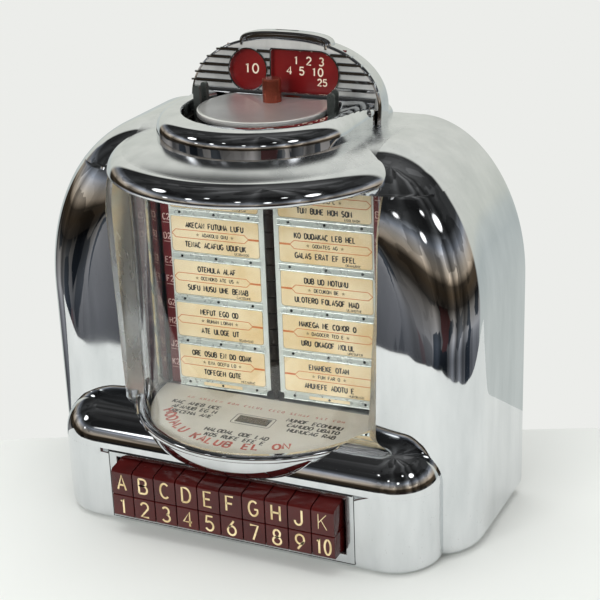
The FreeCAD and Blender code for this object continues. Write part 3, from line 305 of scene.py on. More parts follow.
def level(plan, z):
    """A plan curve at a height."""
    return [(x, y, z) for x, y in plan]


def facing(drawing, y):
    """A drawing seen from the front, at a depth."""
    return [(x, y, z) for x, z in drawing]


def mirrored(points):
    """Points on the other side of the middle."""
    return [(-x, y, z) for x, y, z in points]


def on_circle(radius, turn, axis_y=AXIS_Y):
    """A plan point on a circle round an upright axis; turn 0 is the front."""
    return (radius * math.sin(turn), axis_y - radius * math.cos(turn))


def quarter(steps):
    """Angles from 0 to a right angle, in radians."""
    return [math.pi / 2 * n / steps for n in range(steps + 1)]


def whole_turn(steps):
    """Angles once round, in radians, without the last."""
    return np.linspace(0, 2 * math.pi, steps + 1)[:-1]


def sweep(low, high, steps):
    """Angles in radians between two in degrees."""
    return [math.radians(low + (high - low) * n / steps) for n in range(steps + 1)]


def bend(cx, cy, rx, ry, start, end, steps=10):
    """Points on an ellipse, between two angles in degrees."""
    return [(cx + rx * math.cos(t), cy + ry * math.sin(t)) for t in sweep(start, end, steps)]


def arc(centre, radius, start, end, steps):
    """Points on a circle, between two angles in degrees."""
    return bend(*centre, radius, radius, start, end, steps)


def arc_through(a, m, b, steps):
    """Points on the circle through three places."""
    ax, ay = a
    bx, by = m
    cx, cy = b
    d = 2 * (ax * (by - cy) + bx * (cy - ay) + cx * (ay - by))
    ux = ((ax**2 + ay**2) * (by - cy) + (bx**2 + by**2) * (cy - ay) + (cx**2 + cy**2) * (ay - by)) / d
    uy = ((ax**2 + ay**2) * (cx - bx) + (bx**2 + by**2) * (ax - cx) + (cx**2 + cy**2) * (bx - ax)) / d
    radius = math.hypot(ax - ux, ay - uy)
    first = math.atan2(ay - uy, ax - ux)
    middle = (math.atan2(by - uy, bx - ux) - first + math.pi) % (2 * math.pi) - math.pi
    last = (math.atan2(cy - uy, cx - ux) - first + math.pi) % (2 * math.pi) - math.pi
    if middle * last < 0:
        last += 2 * math.pi if middle > 0 else -2 * math.pi
    turns = [first + last * n / steps for n in range(steps + 1)]
    return [(ux + radius * math.cos(t), uy + radius * math.sin(t)) for t in turns]


def even_spacing(points, count):
    """The same plan curve through a set number of evenly spaced points."""
    points = np.array(points, float)
    steps = np.hypot(*np.diff(points, axis=0).T)
    along = np.concatenate([[0.0], np.cumsum(steps)])
    places = np.linspace(0.0, along[-1], count)
    return np.stack([np.interp(places, along, points[:, k]) for k in (0, 1)], axis=1)


def softened(points, passes):
    """Round the corners of an evenly spaced curve, with its ends kept."""
    points = points.copy()
    for _ in range(passes):
        points[1:-1] = (points[:-2] + 2 * points[1:-1] + points[2:]) / 4
    return points


def turned(profile, angles):
    """Rows of points from a profile of (radius, z), turned about the window's axis."""
    return [level([on_circle(radius, a) for a in angles], z) for radius, z in profile]


# ---------------------------------------------------------------------------
# Finishes
# ---------------------------------------------------------------------------

def tone(code):
    """A colour as the shader needs it, from its six-figure code or a grey level."""
    if not isinstance(code, str):
        return (code, code, code, 1.0)
    parts = [int(code[n:n + 2], 16) / 255 for n in (0, 2, 4)]
    linear = [c / 12.92 if c <= 0.04045 else ((c + 0.055) / 1.055) ** 2.4 for c in parts]
    return (*linear, 1.0)


class Nodes:
    """The nodes of a material or of the world."""

    def __init__(self, owner):
        owner.use_nodes = True
        self.nodes = owner.node_tree.nodes
        self.link = owner.node_tree.links.new

    def node(self, kind, feeds=(), **settings):
        """A new node with its settings, and (socket, source) pairs fed to it."""
        made = self.nodes.new(kind)
        for key, value in settings.items():
            setattr(made, key, value)
        for socket, source in feeds:
            self.feed(source, made.inputs[socket])
        return made

    def feed(self, source, socket):
        """Link a source to a socket, or set a plain value on it."""
        if isinstance(source, bpy.types.NodeSocket):
            self.link(source, socket)
        else:
            socket.default_value = tone(source) if socket.type == "RGBA" else source

    def ramp(self, source, *stops):
        """A colour or grey level by a value, from (place, colour) stops."""
        made = self.node("ShaderNodeValToRGB", [("Fac", source)])
        line = made.color_ramp.elements
        while len(line) < len(stops):
            line.new(0.5)
        for element, (at, colour) in zip(line, stops):
            element.position = at
            element.color = tone(colour)
        return made.outputs["Color"]

    def blend(self, share, a, b, how="MIX"):
        """Two colours put together by a share."""
        feeds = [("Factor", share), (6, a), (7, b)]
        return self.node("ShaderNodeMix", feeds, data_type="RGBA", blend_type=how).outputs[2]

    def math(self, how, *values):
        """The result of one sum on plain values."""
        return self.node("ShaderNodeMath", enumerate(values), operation=how).outputs[0]

    def spread(self, source, low, high, start=0.0, end=1.0):
        """A value from low to high, as the source goes from start to end."""
        feeds = [("Value", source), ("From Min", start), ("From Max", end)]
        feeds += [("To Min", low), ("To Max", high)]
        return self.node("ShaderNodeMapRange", feeds).outputs["Result"]

    def either(self, share, first, second):
        """A shader that goes from the first to the second with the share."""
        return self.node("ShaderNodeMixShader", enumerate((share, first.outputs[0], second.outputs[0])))


class Finish(Nodes):
    """A material with one main shader and the small nodes that vary it."""

    def __init__(self, name, **sockets):
        self.material = bpy.data.materials.new(name)
        super().__init__(self.material)
        self.shader = self.nodes["Principled BSDF"]
        self.place = self.node("ShaderNodeTexCoord").outputs["Object"]
        for socket, value in sockets.items():
            self.shader.inputs[socket.replace("_", " ")].default_value = value

    def noise(self, scale, detail, stretch=None):
        """Soft noise over the object, stretched along an axis if asked."""
        place = self.place
        if stretch:
            place = self.node("ShaderNodeMapping", [("Vector", place), ("Scale", stretch)]).outputs["Vector"]
        feeds = [("Vector", place), ("Scale", scale), ("Detail", detail), ("Roughness", 0.55)]
        return self.node("ShaderNodeTexNoise", feeds).outputs["Fac"]

    def pits(self, scale):
        """Distance to scattered points."""
        feeds = [("Vector", self.place), ("Scale", scale)]
        return self.node("ShaderNodeTexVoronoi", feeds).outputs["Distance"]

    def drive(self, socket, source):
        """Let a node drive one of the shader's sockets."""
        self.link(source, self.shader.inputs[socket])

    def bump(self, source, strength, distance):
        """Let a node raise the surface, by a distance in millimetres."""
        feeds = [("Strength", strength), ("Distance", distance * MM), ("Height", source)]
        self.drive("Normal", self.node("ShaderNodeBump", feeds).outputs["Normal"])


def chrome_plate(name, bright, dull, rough_low, rough_high, pit_scale, metallic=1.0):
    """Polished plate with faint clouding, rub marks and scattered pits."""
    f = Finish(name, Metallic=metallic)
    cloud = f.noise(9.0, 4.0)
    rub = f.noise(60.0, 5.0, (1.0, 1.0, 0.25))
    pit = f.ramp(f.pits(pit_scale), (0.04, 1.0), (0.09, 0.0))
    worn = f.ramp(cloud, (0.46, 0.0), (0.72, 1.0))
    spots = f.math("MULTIPLY", pit, worn)
    base = f.blend(f.ramp(rub, (0.35, 0.0), (0.7, 1.0)), bright, dull)
    f.drive("Base Color", f.blend(spots, base, "4a4740"))
    haze = f.math("MULTIPLY", f.ramp(cloud, (0.4, 0.0), (0.75, 1.0)), f.ramp(rub, (0.4, 0.2), (0.7, 1.0)))
    f.drive("Roughness", f.spread(haze, rough_low, rough_high))
    f.bump(f.blend(spots, f.ramp(f.noise(14.0, 2.0), (0.0, 0.0), (1.0, 1.0)), 0.0), 0.05, 0.6)
    return f.material


def surface(name, main, other, rough, metallic, scale, bump, stretch=(1, 1, 1)):
    """A surface of two close tones in soft patches, with a fine grain."""
    f = Finish(name, Metallic=metallic)
    patch = f.noise(scale, 4.0, stretch)
    f.drive("Base Color", f.blend(f.ramp(patch, (0.35, 0.0), (0.68, 1.0)), main, other))
    fine = f.noise(scale * 12, 3.0, stretch)
    f.drive("Roughness", f.spread(fine, *rough))
    f.bump(fine, bump, 0.1)
    return f.material


def clear_pane(name):
    """Thin clear glass with faint wipe marks, which lets lamps through."""
    f = Finish(name, Roughness=0.02, IOR=1.45, Transmission_Weight=1.0)
    marks = f.noise(30.0, 4.0, (1.0, 1.0, 0.3))
    f.drive("Roughness", f.spread(marks, 0.0, 0.02))
    f.drive("Base Color", f.ramp(marks, (0.3, "fefefe"), (0.7, "fafcfb")))
    through = f.node("ShaderNodeBsdfTransparent", [("Color", "fcfdfd")])
    shadow = f.node("ShaderNodeLightPath").outputs["Is Shadow Ray"]
    f.link(f.either(shadow, f.shader, through).outputs[0], f.nodes["Material Output"].inputs["Surface"])
    return f.material


def red_plate(name):
    """Red translucent plate, unevenly faded."""
    f = Finish(name, Roughness=0.25, Coat_Weight=0.4)
    f.drive("Base Color", f.ramp(f.noise(35.0, 3.0), (0.3, "5f0e12"), (0.75, "7d1b1a")))
    f.bump(f.noise(300.0, 2.0), 0.05, 0.1)
    return f.material


# Chromed plates: bright and dull tone, least and most roughness, scale of the pits, share of metal
PLATES = {
    "chrome_plate": ("e2e4e6", "d3d6d8", 0.03, 0.12, 320.0),
    "chrome_hazy": ("e2e4e6", "d3d6d8", 0.24, 0.36, 320.0),
    "chrome_trim": ("dddfe1", "cfd1d3", 0.06, 0.16, 240.0),
    "bezel_plate": ("d5d8da", "c4c7c9", 0.10, 0.22, 200.0),
    "disc_plate": ("f4f4f2", "e8e8e6", 0.28, 0.40, 500.0, 0.85),
    "chrome_satin": ("e4e6e4", "c9cbc8", 0.20, 0.32, 300.0, 0.5),
}

# Plain surfaces: two tones, roughness, share of metal, scale and strength of the grain, stretch
SURFACES = {
    "key_maroon": ("4a1311", "390d0d", (0.1, 0.24), 0.0, 30.0, 0.06),
    "key_cream": ("efdcae", "b99f6c", (0.45, 0.65), 0.0, 90.0, 0.2),
    "page_metal": ("dde2dc", "c6ccc6", (0.35, 0.5), 0.1, 12.0, 0.02),
    "page_bar": ("d3dad4", "b9c0ba", (0.22, 0.34), 0.35, 12.0, 0.02),
    "paper": ("f4e3bd", "e3c690", (0.6, 0.8), 0.0, 26.0, 0.05),
    "lug_metal": ("5b5f5d", "3c403e", (0.2, 0.3), 0.8, 60.0, 0.02),
    "paper_edge": ("8f7c5c", "a8946c", (0.6, 0.8), 0.0, 60.0, 0.1),
    "ink": ("262422", "3b3733", (0.5, 0.7), 0.0, 200.0, 0.1),
    "ink_soft": ("2a2926", "403d38", (0.5, 0.7), 0.0, 200.0, 0.1),
    "ink_orange": ("cf6f3a", "d98d55", (0.5, 0.7), 0.0, 150.0, 0.1),
    "ink_red": ("b23c2c", "c2604c", (0.5, 0.7), 0.0, 150.0, 0.1),
    "card_paper": ("dcd9cf", "c9c5b9", (0.5, 0.7), 0.0, 18.0, 0.08),
    "label_maroon": ("6e2326", "5c1a1e", (0.45, 0.6), 0.0, 30.0, 0.05),
    "label_pink": ("ecd0c6", "d4aba0", (0.5, 0.7), 0.0, 120.0, 0.1),
    "print_cream": ("f0e2cc", "e2cdb4", (0.4, 0.6), 0.0, 90.0, 0.05),
    "copper_red": ("b5604c", "8f4030", (0.16, 0.28), 0.85, 40.0, 0.03, (1, 1, 0.15)),
    "lever_grey": ("5d625f", "474b49", (0.22, 0.38), 0.6, 60.0, 0.1),
    "rod_dark": ("2b2723", "1c1a17", (0.4, 0.6), 0.3, 40.0, 0.04, (1, 1, 0.3)),
    "lens_dark": ("2c2e2c", "1d1f1e", (0.1, 0.2), 0.0, 60.0, 0.1),
    "zinc_sheet": ("a9abad", "8d9092", (0.25, 0.45), 0.9, 22.0, 0.15),
    "lining_metal": ("c9cbc2", "a5a79e", (0.08, 0.16), 1.0, 10.0, 0.02, (1, 1, 0.2)),
    "phenolic_board": ("6b4228", "57341f", (0.4, 0.6), 0.0, 60.0, 0.15),
    "motor_enamel": ("5c6360", "4d5451", (0.35, 0.5), 0.0, 40.0, 0.2),
    "brass_plain": ("c9a860", "a88743", (0.2, 0.35), 1.0, 50.0, 0.1),
    "black_moulding": ("1e1e1f", "2a2a2b", (0.4, 0.6), 0.0, 80.0, 0.15),
    "bulb_glass": ("f3ead2", "e4d4b2", (0.1, 0.2), 0.0, 60.0, 0.03),
    "spring_wire": ("8c8f92", "6d7073", (0.25, 0.4), 1.0, 90.0, 0.1),
    # painted shade: near-black for hollows, gaps and openings where only shade falls
    "painted_hollow_shade": ("1c1b19", "282623", (0.6, 0.8), 0.0, 40.0, 0.1),
}

FINISHES = {name: chrome_plate(name, *values) for name, values in PLATES.items()}
FINISHES.update((name, surface(name, *values)) for name, values in SURFACES.items())
FINISHES["clear_pane"] = clear_pane("clear_pane")
FINISHES["red_translucent"] = red_plate("red_translucent")

NODE_FINISHES = {
    "chrome": "chrome_plate", "bezel_metal": "bezel_plate", "key_red": "key_maroon", "clear": "clear_pane",
    "page_metal": "page_metal", "dark_lever": "lever_grey", "rod_steel": "rod_dark", "steel": "zinc_sheet",
    "paper": "card_paper", "label_red": "label_maroon", "lens_dark": "lens_dark", "disc_metal": "disc_plate",
    "copper_red": "copper_red", "red_clear": "red_translucent", "phenolic": "phenolic_board",
    "black_plastic": "black_moulding", "motor_grey": "motor_enamel", "brass": "brass_plain",
    "bulb": "bulb_glass", "spring_steel": "spring_wire",
}


def finish_nodes():
    """Give every node the finish of its slot."""
    for part in frame["record"]["subparts"]:
        node = frame["nodes"][part["node"]]
        node.data.materials.clear()
        node.data.materials.append(FINISHES[NODE_FINISHES[part["material_slot"]]])


# ---------------------------------------------------------------------------
# The chromed case
# ---------------------------------------------------------------------------

def fender_half(y):
    """Half the case's width at a depth, at the height of the springing."""
    if y >= FENDER_START:
        return CASE_HALF - DRAFT * (CASE_BACK - y) / (CASE_BACK - NOSE_Y)
    back = CASE_HALF - DRAFT * (CASE_BACK - FENDER_START) / (CASE_BACK - NOSE_Y)
    reach = min(1.0, (FENDER_START - y) / (FENDER_START - NOSE_Y))
    return NOSE_X + (back - NOSE_X) * (1 - reach ** FENDER_POWER) ** (1 / FENDER_POWER)


def shoulder_top(y):
    """Height of the shoulders at a depth."""
    if y >= SHOULDER_START:
        return CASE_TOP
    reach = min(1.0, (SHOULDER_START - y) / (SHOULDER_START - NOSE_Y))
    return CASE_TOP - SHOULDER_DROP * (1 - (1 - reach ** SHOULDER_POWER) ** (1 / SHOULDER_POWER))


def skin_x(y, z):
    """Half the case's width at a depth and a height, or nothing above the shoulder."""
    half = fender_half(y)
    top = shoulder_top(y)
    if z > top:
        return None
    spring = SPRING * top / CASE_TOP
    if z <= spring:
        return half
    flat = CROWN_FLAT * half / CASE_HALF
    rise = (z - spring) / (top - spring)
    return flat + (half - flat) * math.sqrt(max(0.0, 1 - rise * rise))


def glass_edge(z):
    """Where the fender meets the glass at a height: it stands further forward low down."""
    return on_circle(GLASS_RADIUS, math.radians(float(np.interp(z, EDGE_HEIGHTS, EDGE_TURNS))))


def face_depth(x):
    """How far forward the fender's front face stands, from its crest in towards the glass."""
    t = max(0.0, (NOSE_X - x) / (NOSE_X - FACE_EDGE[0]))
    return NOSE_Y + (FACE_EDGE[1] - NOSE_Y) * t ** 1.6


def plan_at(z):
    """The case's outline at a height, from the back edge round the nose and in towards the glass."""
    inner = glass_edge(z)[0] + ROLL_WIDTH if z <= ROLL_TOP else 0.0

    def outside(y):
        """Whether the case still has its side at this depth."""
        x = skin_x(y, z)
        if x is None or x <= inner or y < NOSE_Y:
            return False
        if ROLL_TOP < z < BRIM_TOP and math.hypot(x, y - AXIS_Y) < GLASS_RADIUS + GLASS_GAP:
            return False
        return z > ROLL_TOP or x > NOSE_X or y > face_depth(x)

    y = CASE_BACK
    skin = []
    while outside(y):
        skin.append((skin_x(y, z), y))
        y -= PLAN_STEP
    low, high = y, y + PLAN_STEP
    for _ in range(20):
        middle = (low + high) / 2
        low, high = (low, middle) if outside(middle) else (middle, high)
    last = (skin_x(high, z), high)
    skin.append(last)
    if inner and last[0] > inner + 0.5:
        for n in range(1, FACE_STEPS + 1):
            x = last[0] + (inner - last[0]) * n / FACE_STEPS
            skin.append((x, max(face_depth(x), last[1])))
    return skin


def rolled_edge(z, start):
    """The roll from the front face's inner edge to the glass; above the roll it stays at its start."""
    if z > ROLL_TOP:
        return [tuple(start)] * (len(ROLL_SHARES) + 1)
    x0, y0 = glass_edge(z)
    dx, dy = x0 - start[0], y0 - start[1]
    long = math.hypot(dx, dy)
    high = ROLL_HEIGHT * float(np.interp(z, (84.0, 125.0), (0.12, 1.0)))
    points = []
    for t in ROLL_SHARES:
        swell = high * (math.sin(math.pi * t) ** 0.7 - 0.9 * math.exp(-((t - 0.12) / 0.07) ** 2))
        points.append((start[0] + dx * t + dy / long * swell, start[1] + dy * t + dx / long * swell))
    return points + [(x0 - 1.0, y0 + 3.0)]


def inset_plan(points, inset):
    """Move a plan curve inward, to its right-hand side going forward."""
    ahead = np.gradient(points, axis=0)
    ahead /= np.maximum(np.hypot(*ahead.T), 1e-9)[:, None]
    return points + np.stack([ahead[:, 1], -ahead[:, 0]], axis=1) * inset


def case_row(z):
    """One level row of the case's right side, its nose softened, then the roll beside the glass."""
    plan = softened(even_spacing(plan_at(z), PLAN_POINTS), CREST_PASSES)
    return list(map(tuple, plan)) + rolled_edge(z, plan[-1])


def fenders(shell):
    """Both fenders with their shoulders, and the flat top between them."""
    foot = softened(even_spacing(plan_at(40.0), PLAN_POINTS), CREST_PASSES)
    tail = rolled_edge(60.0, foot[-1])
    rows = []
    for t in quarter(6)[:-1]:
        plan = inset_plan(foot, FOOT_RADIUS * (1 - math.sin(t)))
        rows.append(level([*plan, *tail], FOOT_RADIUS * (1 - math.cos(t))))
    heights = [SPRING + (CASE_TOP - SPRING) * math.sin(t) for t in quarter(30)[1:-1]]
    heights += [*FENDER_ROWS, ROLL_TOP - 0.01, ROLL_TOP + 0.01]
    rows += [level(case_row(z), z) for z in sorted(heights) + [CASE_TOP - 0.02]]
    side = [row[:PLAN_POINTS] for row in rows]
    inside = (110.0, 40.0, 100.0)
    shell.both_sides(side, PLAIN, inside)
    shell.both_sides([row[PLAN_POINTS - 1:] for row in rows], HAZY, inside)
    shell.grid([side[-1], mirrored(side[-1])], HAZY, (0.0, 60.0, 100.0))
    saddle(shell)
    shell.both_sides([side[0], [(x - 14.0, y, 0.0) for x, y, z in side[0]]], PLAIN, (110.0, 40.0, 60.0))
    edge = [[row[0] for row in rows]]
    for y in (CASE_BACK, CASE_BACK - 8.0):
        edge.append([(row[0][0] - WALL, y, min(row[0][2], CASE_TOP - WALL)) for row in rows])
    shell.both_sides(edge, PLAIN, (165.0, 80.0, 100.0))


def saddle(shell):
    """The tops of the shoulders, from their round in under the tier and the brim."""
    rows = []
    for y in np.linspace(SHOULDER_START, -24.0, 41):
        edge = CROWN_FLAT * fender_half(y) / CASE_HALF
        within = 50.0 if shoulder_top(y) > BRIM_TOP else math.sqrt(97.0 ** 2 - (AXIS_Y - y) ** 2)
        if within < edge:
            across = [edge + (within - edge) * t for t in np.linspace(-0.02, 1.0, 14)]
            rows.append([(x, y, shoulder_top(y)) for x in across])
    shell.both_sides(rows, HAZY, (70.0, 20.0, 100.0))


def housing_plan(inset):
    """Right half of the lower housing's outline, from its back to its front middle, moved inward."""
    x = HOUSING_HALF - inset
    y = HOUSING_FRONT + inset
    radius = max(HOUSING_CORNER - inset, 0.5)
    points = [(x, HOUSING_BACK)]
    points += [(x, HOUSING_BACK + (y + radius - HOUSING_BACK) * n / 6) for n in range(1, 6)]
    points += arc((x - radius, y + radius), radius, 0, -90, 24)
    return points


def apron_profile():
    """Radius and height up the apron's outside, to its bead and the foot of the glass."""
    points = arc_through((77.0, 59.0), (90.2, 66.5), (96.6, 79.0), 24)
    points += [(96.7, 80.2)] + arc((97.2, 83.7), 3.2, -80, 90, 14)
    return points + [(95.6, 86.9), (94.5, 86.4), (94.4, 83.0)]


def apron_radius_at(z):
    """The apron's radius at a height."""
    radii, heights = zip(*apron_profile()[:25])
    return float(np.interp(z, heights, radii))


def cut_at_circle(points, radius):
    """The part of a plan curve outside the circle round the window's axis."""
    kept = []
    for a, b in zip(points, points[1:]):
        far_a = math.hypot(a[0], a[1] - AXIS_Y) - radius
        far_b = math.hypot(b[0], b[1] - AXIS_Y) - radius
        if far_a > 0:
            kept.append(a)
        if far_a > 0 >= far_b:
            share = far_a / (far_a - far_b)
            kept.append((a[0] + (b[0] - a[0]) * share, a[1] + (b[1] - a[1]) * share))
            break
    return kept


def housing(shell):
    """The lower housing: base and walls, with the opening for the keys."""
    levels = [(HOUSING_BASE_ROUND * (1 - math.sin(t)), HOUSING_BASE_ROUND * (1 - math.cos(t)))
              for t in quarter(6)]
    levels += [(0.0, z) for z in (15.0, 25.0, 35.0, 45.0, 55.0, WALL_TOP)]
    walls = []
    for inset, z in levels:
        plan = housing_plan(inset)
        walls.append(level(plan + [(KEYHOLE_HALF, plan[-1][1])], z))
    shell.both_sides(walls, PLAIN, (100.0, 0.0, 30.0))
    sill = [[row[-1], *mirrored(row[-1:])] for row in walls[:7] if row[-1][2] <= KEYHOLE_LOW]
    shell.grid(sill, PLAIN, (0.0, 0.0, 60.0))
    head = [[(x, HOUSING_FRONT, z) for x in (KEYHOLE_HALF, -KEYHOLE_HALF)] for z in (KEYHOLE_HIGH, WALL_TOP)]
    shell.grid(head, PLAIN, (0.0, 0.0, 50.0))
    reveal = [[(KEYHOLE_HALF, y, z) for z in (WALL_TOP, KEYHOLE_LOW)]
              for y in (HOUSING_FRONT, HOUSING_FRONT + 2.5)]
    shell.both_sides(reveal, PLAIN, (120.0, HOUSING_FRONT + 1, 30.0))


def paws(shell):
    """The two rounded paws, their flat tops round the apron, and the soft edge beside it."""
    rows = []
    edge = []
    for t in quarter(14):
        z = WALL_TOP + HOUSING_ROUND * math.sin(t)
        reach = RIM_RADIUS
        if z < RIM_FOOT:
            reach = apron_radius_at(z) - 3.0 if z < 80.5 else 99.2
        plan = housing_plan(HOUSING_ROUND * (1 - math.cos(t)))
        plan += [(x, plan[-1][1]) for x in np.linspace(plan[-1][0], 0.0, 24)[1:]]
        rows.append(level(even_spacing(cut_at_circle(plan, reach), PAW_POINTS), z))
        if z >= RIM_FOOT:
            edge.append(rows[-1][-1])
    shell.both_sides(rows, PLAIN, (115.0, -10.0, 60.0))
    first = math.atan2(rows[-1][-1][0], AXIS_Y - rows[-1][-1][1])
    last = math.atan2(RIM_RADIUS, AXIS_Y - HOUSING_BACK)
    rim = level([on_circle(RIM_RADIUS, a) for a in np.linspace(last, first, PAW_POINTS)], HOUSING_TOP)
    outer, inner = np.array(rows[-1]), np.array(rim)
    top = [outer + (inner - outer) * share for share in (0.0, 0.25, 0.5, 0.75, 1.0)]
    shell.both_sides(top, PLAIN, (110.0, -10.0, 60.0))
    boundary = rim + edge[::-1][1:]
    rounds = []
    for t in quarter(5):
        radius = RIM_RADIUS - RIM_ROUND * math.sin(t)
        drop = RIM_ROUND * (1 - math.cos(t))
        rounds.append([(*on_circle(radius, math.atan2(x, AXIS_Y - y)), z - drop) for x, y, z in boundary])
    rounds.append([(x, y, 82.0) for x, y, z in rounds[-1]])
    shell.both_sides(rounds, PLAIN, (120.0, -10.0, 60.0))


def dome(shell):
    """Apron below the glass, and the brim above it."""
    shell.grid(turned(apron_profile(), sweep(-89, 89, 150)), PLAIN, (0, AXIS_Y, 75))
    brim = [BRIM_LIP, BRIM_FOOT]
    brim += arc_through(BRIM_FOOT, (107.2, 267.2), BRIM_EDGE, 8)[1:]
    brim += arc_through(BRIM_EDGE, (105.0, 276.0), BRIM_SHOULDER, 22)[1:]
    slope = arc_through(BRIM_SHOULDER, (82.4, 286.4), (67.5, 288.5), 14)
    for profile, finish in ((brim, PLAIN), (slope, HAZY)):
        shell.grid(turned(profile, sweep(-BRIM_TURN, BRIM_TURN, 200)), finish, (0, AXIS_Y, 270))
    # the brim's underside above the glass is painted shade
    inner = [BRIM_LIP, (93.0, 269.0), (60.0, 274.0)]
    shell.grid(turned(inner, sweep(-BRIM_TURN, BRIM_TURN, 100)), PAINTED_SHADE)


def tier_plan(inset):
    """The tier's horseshoe outline, moved inward, from its right back round the front to its left back."""
    radius = TIER_RADIUS - inset
    sides = [(radius, DECK_FRONT + (AXIS_Y - DECK_FRONT) * n / 8) for n in range(8)]
    front = [on_circle(radius, math.radians(a)) for a in range(90, -91, -3)]
    return sides + front + [(-x, y) for x, y in reversed(sides)]


def tier(shell):
    """The raised tier round the disc, with a rolled edge, and the deck behind it."""
    rows = [level(tier_plan(0.0), TIER_FOOT)]
    for t in quarter(12):
        z = TIER_TOP - TIER_SOFT + TIER_SOFT * math.sin(t)
        rows.append(level(tier_plan(TIER_SOFT * (1 - math.cos(t))), z))
    limit = math.acos((OPENING_Y - DECK_FRONT) / (OPENING_RADIUS + OPENING_ROUND))
    turns = [max(-limit, min(limit, math.atan2(x, OPENING_Y - y))) for x, y, z in rows[-1]]
    for t in quarter(6):
        rim = [on_circle(OPENING_RADIUS + OPENING_ROUND * (1 - math.sin(t)), a, OPENING_Y) for a in turns]
        z = TIER_TOP - OPENING_ROUND * (1 - math.cos(t))
        rows.append([(x, min(y, DECK_FRONT), z) for x, y in rim])
    shell.grid(rows, PLAIN, (0, AXIS_Y, 150))
    bright, dark = ([(x, y, low) for x, y, z in rows[-1]] for low in (298.0, 262.0))
    shell.grid([rows[-1], bright], PLAIN, (0, -200, 300))
    # below the bright rim, the well's wall down into the dome is painted shade
    shell.grid([bright, dark], PAINTED_SHADE)
    deck(shell)
    curls(shell)
    for end in (0, -1):
        profile = [row[end] for row in rows[:14]]
        shell.caps([profile + [(profile[-1][0], DECK_FRONT, 290.0)]], PLAIN, (0, -100, 290))


def deck(shell):
    """The deck behind the tier, open at the front."""
    rows = [level(deck_plan(0.0), TIER_FOOT)]
    for t in quarter(10):
        z = DECK_TOP - TIER_SOFT + TIER_SOFT * math.sin(t)
        rows.append(level(deck_plan(TIER_SOFT * (1 - math.cos(t))), z))
    shell.grid(rows, PLAIN, (0, 60, 150))
    shell.grid([rows[-1], [(x, DECK_FRONT, z) for x, y, z in rows[-1]]], PLAIN, (0, 60, 150))


def curls(shell):
    """The small curled ends at the crown's feet."""
    cx, cy, cz = CURL_PLACE
    rows = [[(cx + r * math.cos(a) * 0.6, cy + 3.5 * t, cz + r * math.sin(a)) for a in whole_turn(16)]
            for t, r in CURL_ROUNDS]
    shell.both_sides([row + row[:1] for row in rows], PLAIN, (cx, cy + 1.0, cz))


def deck_plan(inset):
    """The deck's outline behind the tier, moved inward, open at the front."""
    x = TIER_RADIUS - inset
    y = TIER_BACK - inset
    points = [(x, DECK_FRONT), (x, 62.0), (x, 70.0)]
    points += arc((x - DECK_CORNER, y - DECK_CORNER), DECK_CORNER, 0, 90, 6)
    return points + [(-a, b) for a, b in reversed(points)]


def lining(shell):
    """The bright inner sides of the window room, and its back as a flat sheet of painted shade."""
    plan = [(93.9, 8.5), (92.8, 12.0), (91.9, 20.0), (91.0, 40.0), (90.6, 62.0)]
    shell.both_sides([level(plan, z) for z in np.linspace(78.0, 268.0, 6)], LINED, (150.0, 30.0, 150.0))
    # the back of the window room is a flat sheet of painted shade
    shell.grid([[(x, 62.0, z) for x in (90.6, -90.6)] for z in (78.0, 268.0)], PAINTED_SHADE)


def front_cover():
    """The whole chromed cover as one piece."""
    shell = Shell()
    for part in (fenders, housing, paws, dome, tier, lining):
        part(shell)
    cover = shell.piece("cover", ["chrome_plate", "painted_hollow_shade", "lining_metal", "chrome_hazy"], crease=38)
    settle(cover, "case", "chrome", "front_cover")


# ---------------------------------------------------------------------------
# Letters and figures, as single strokes
# ---------------------------------------------------------------------------

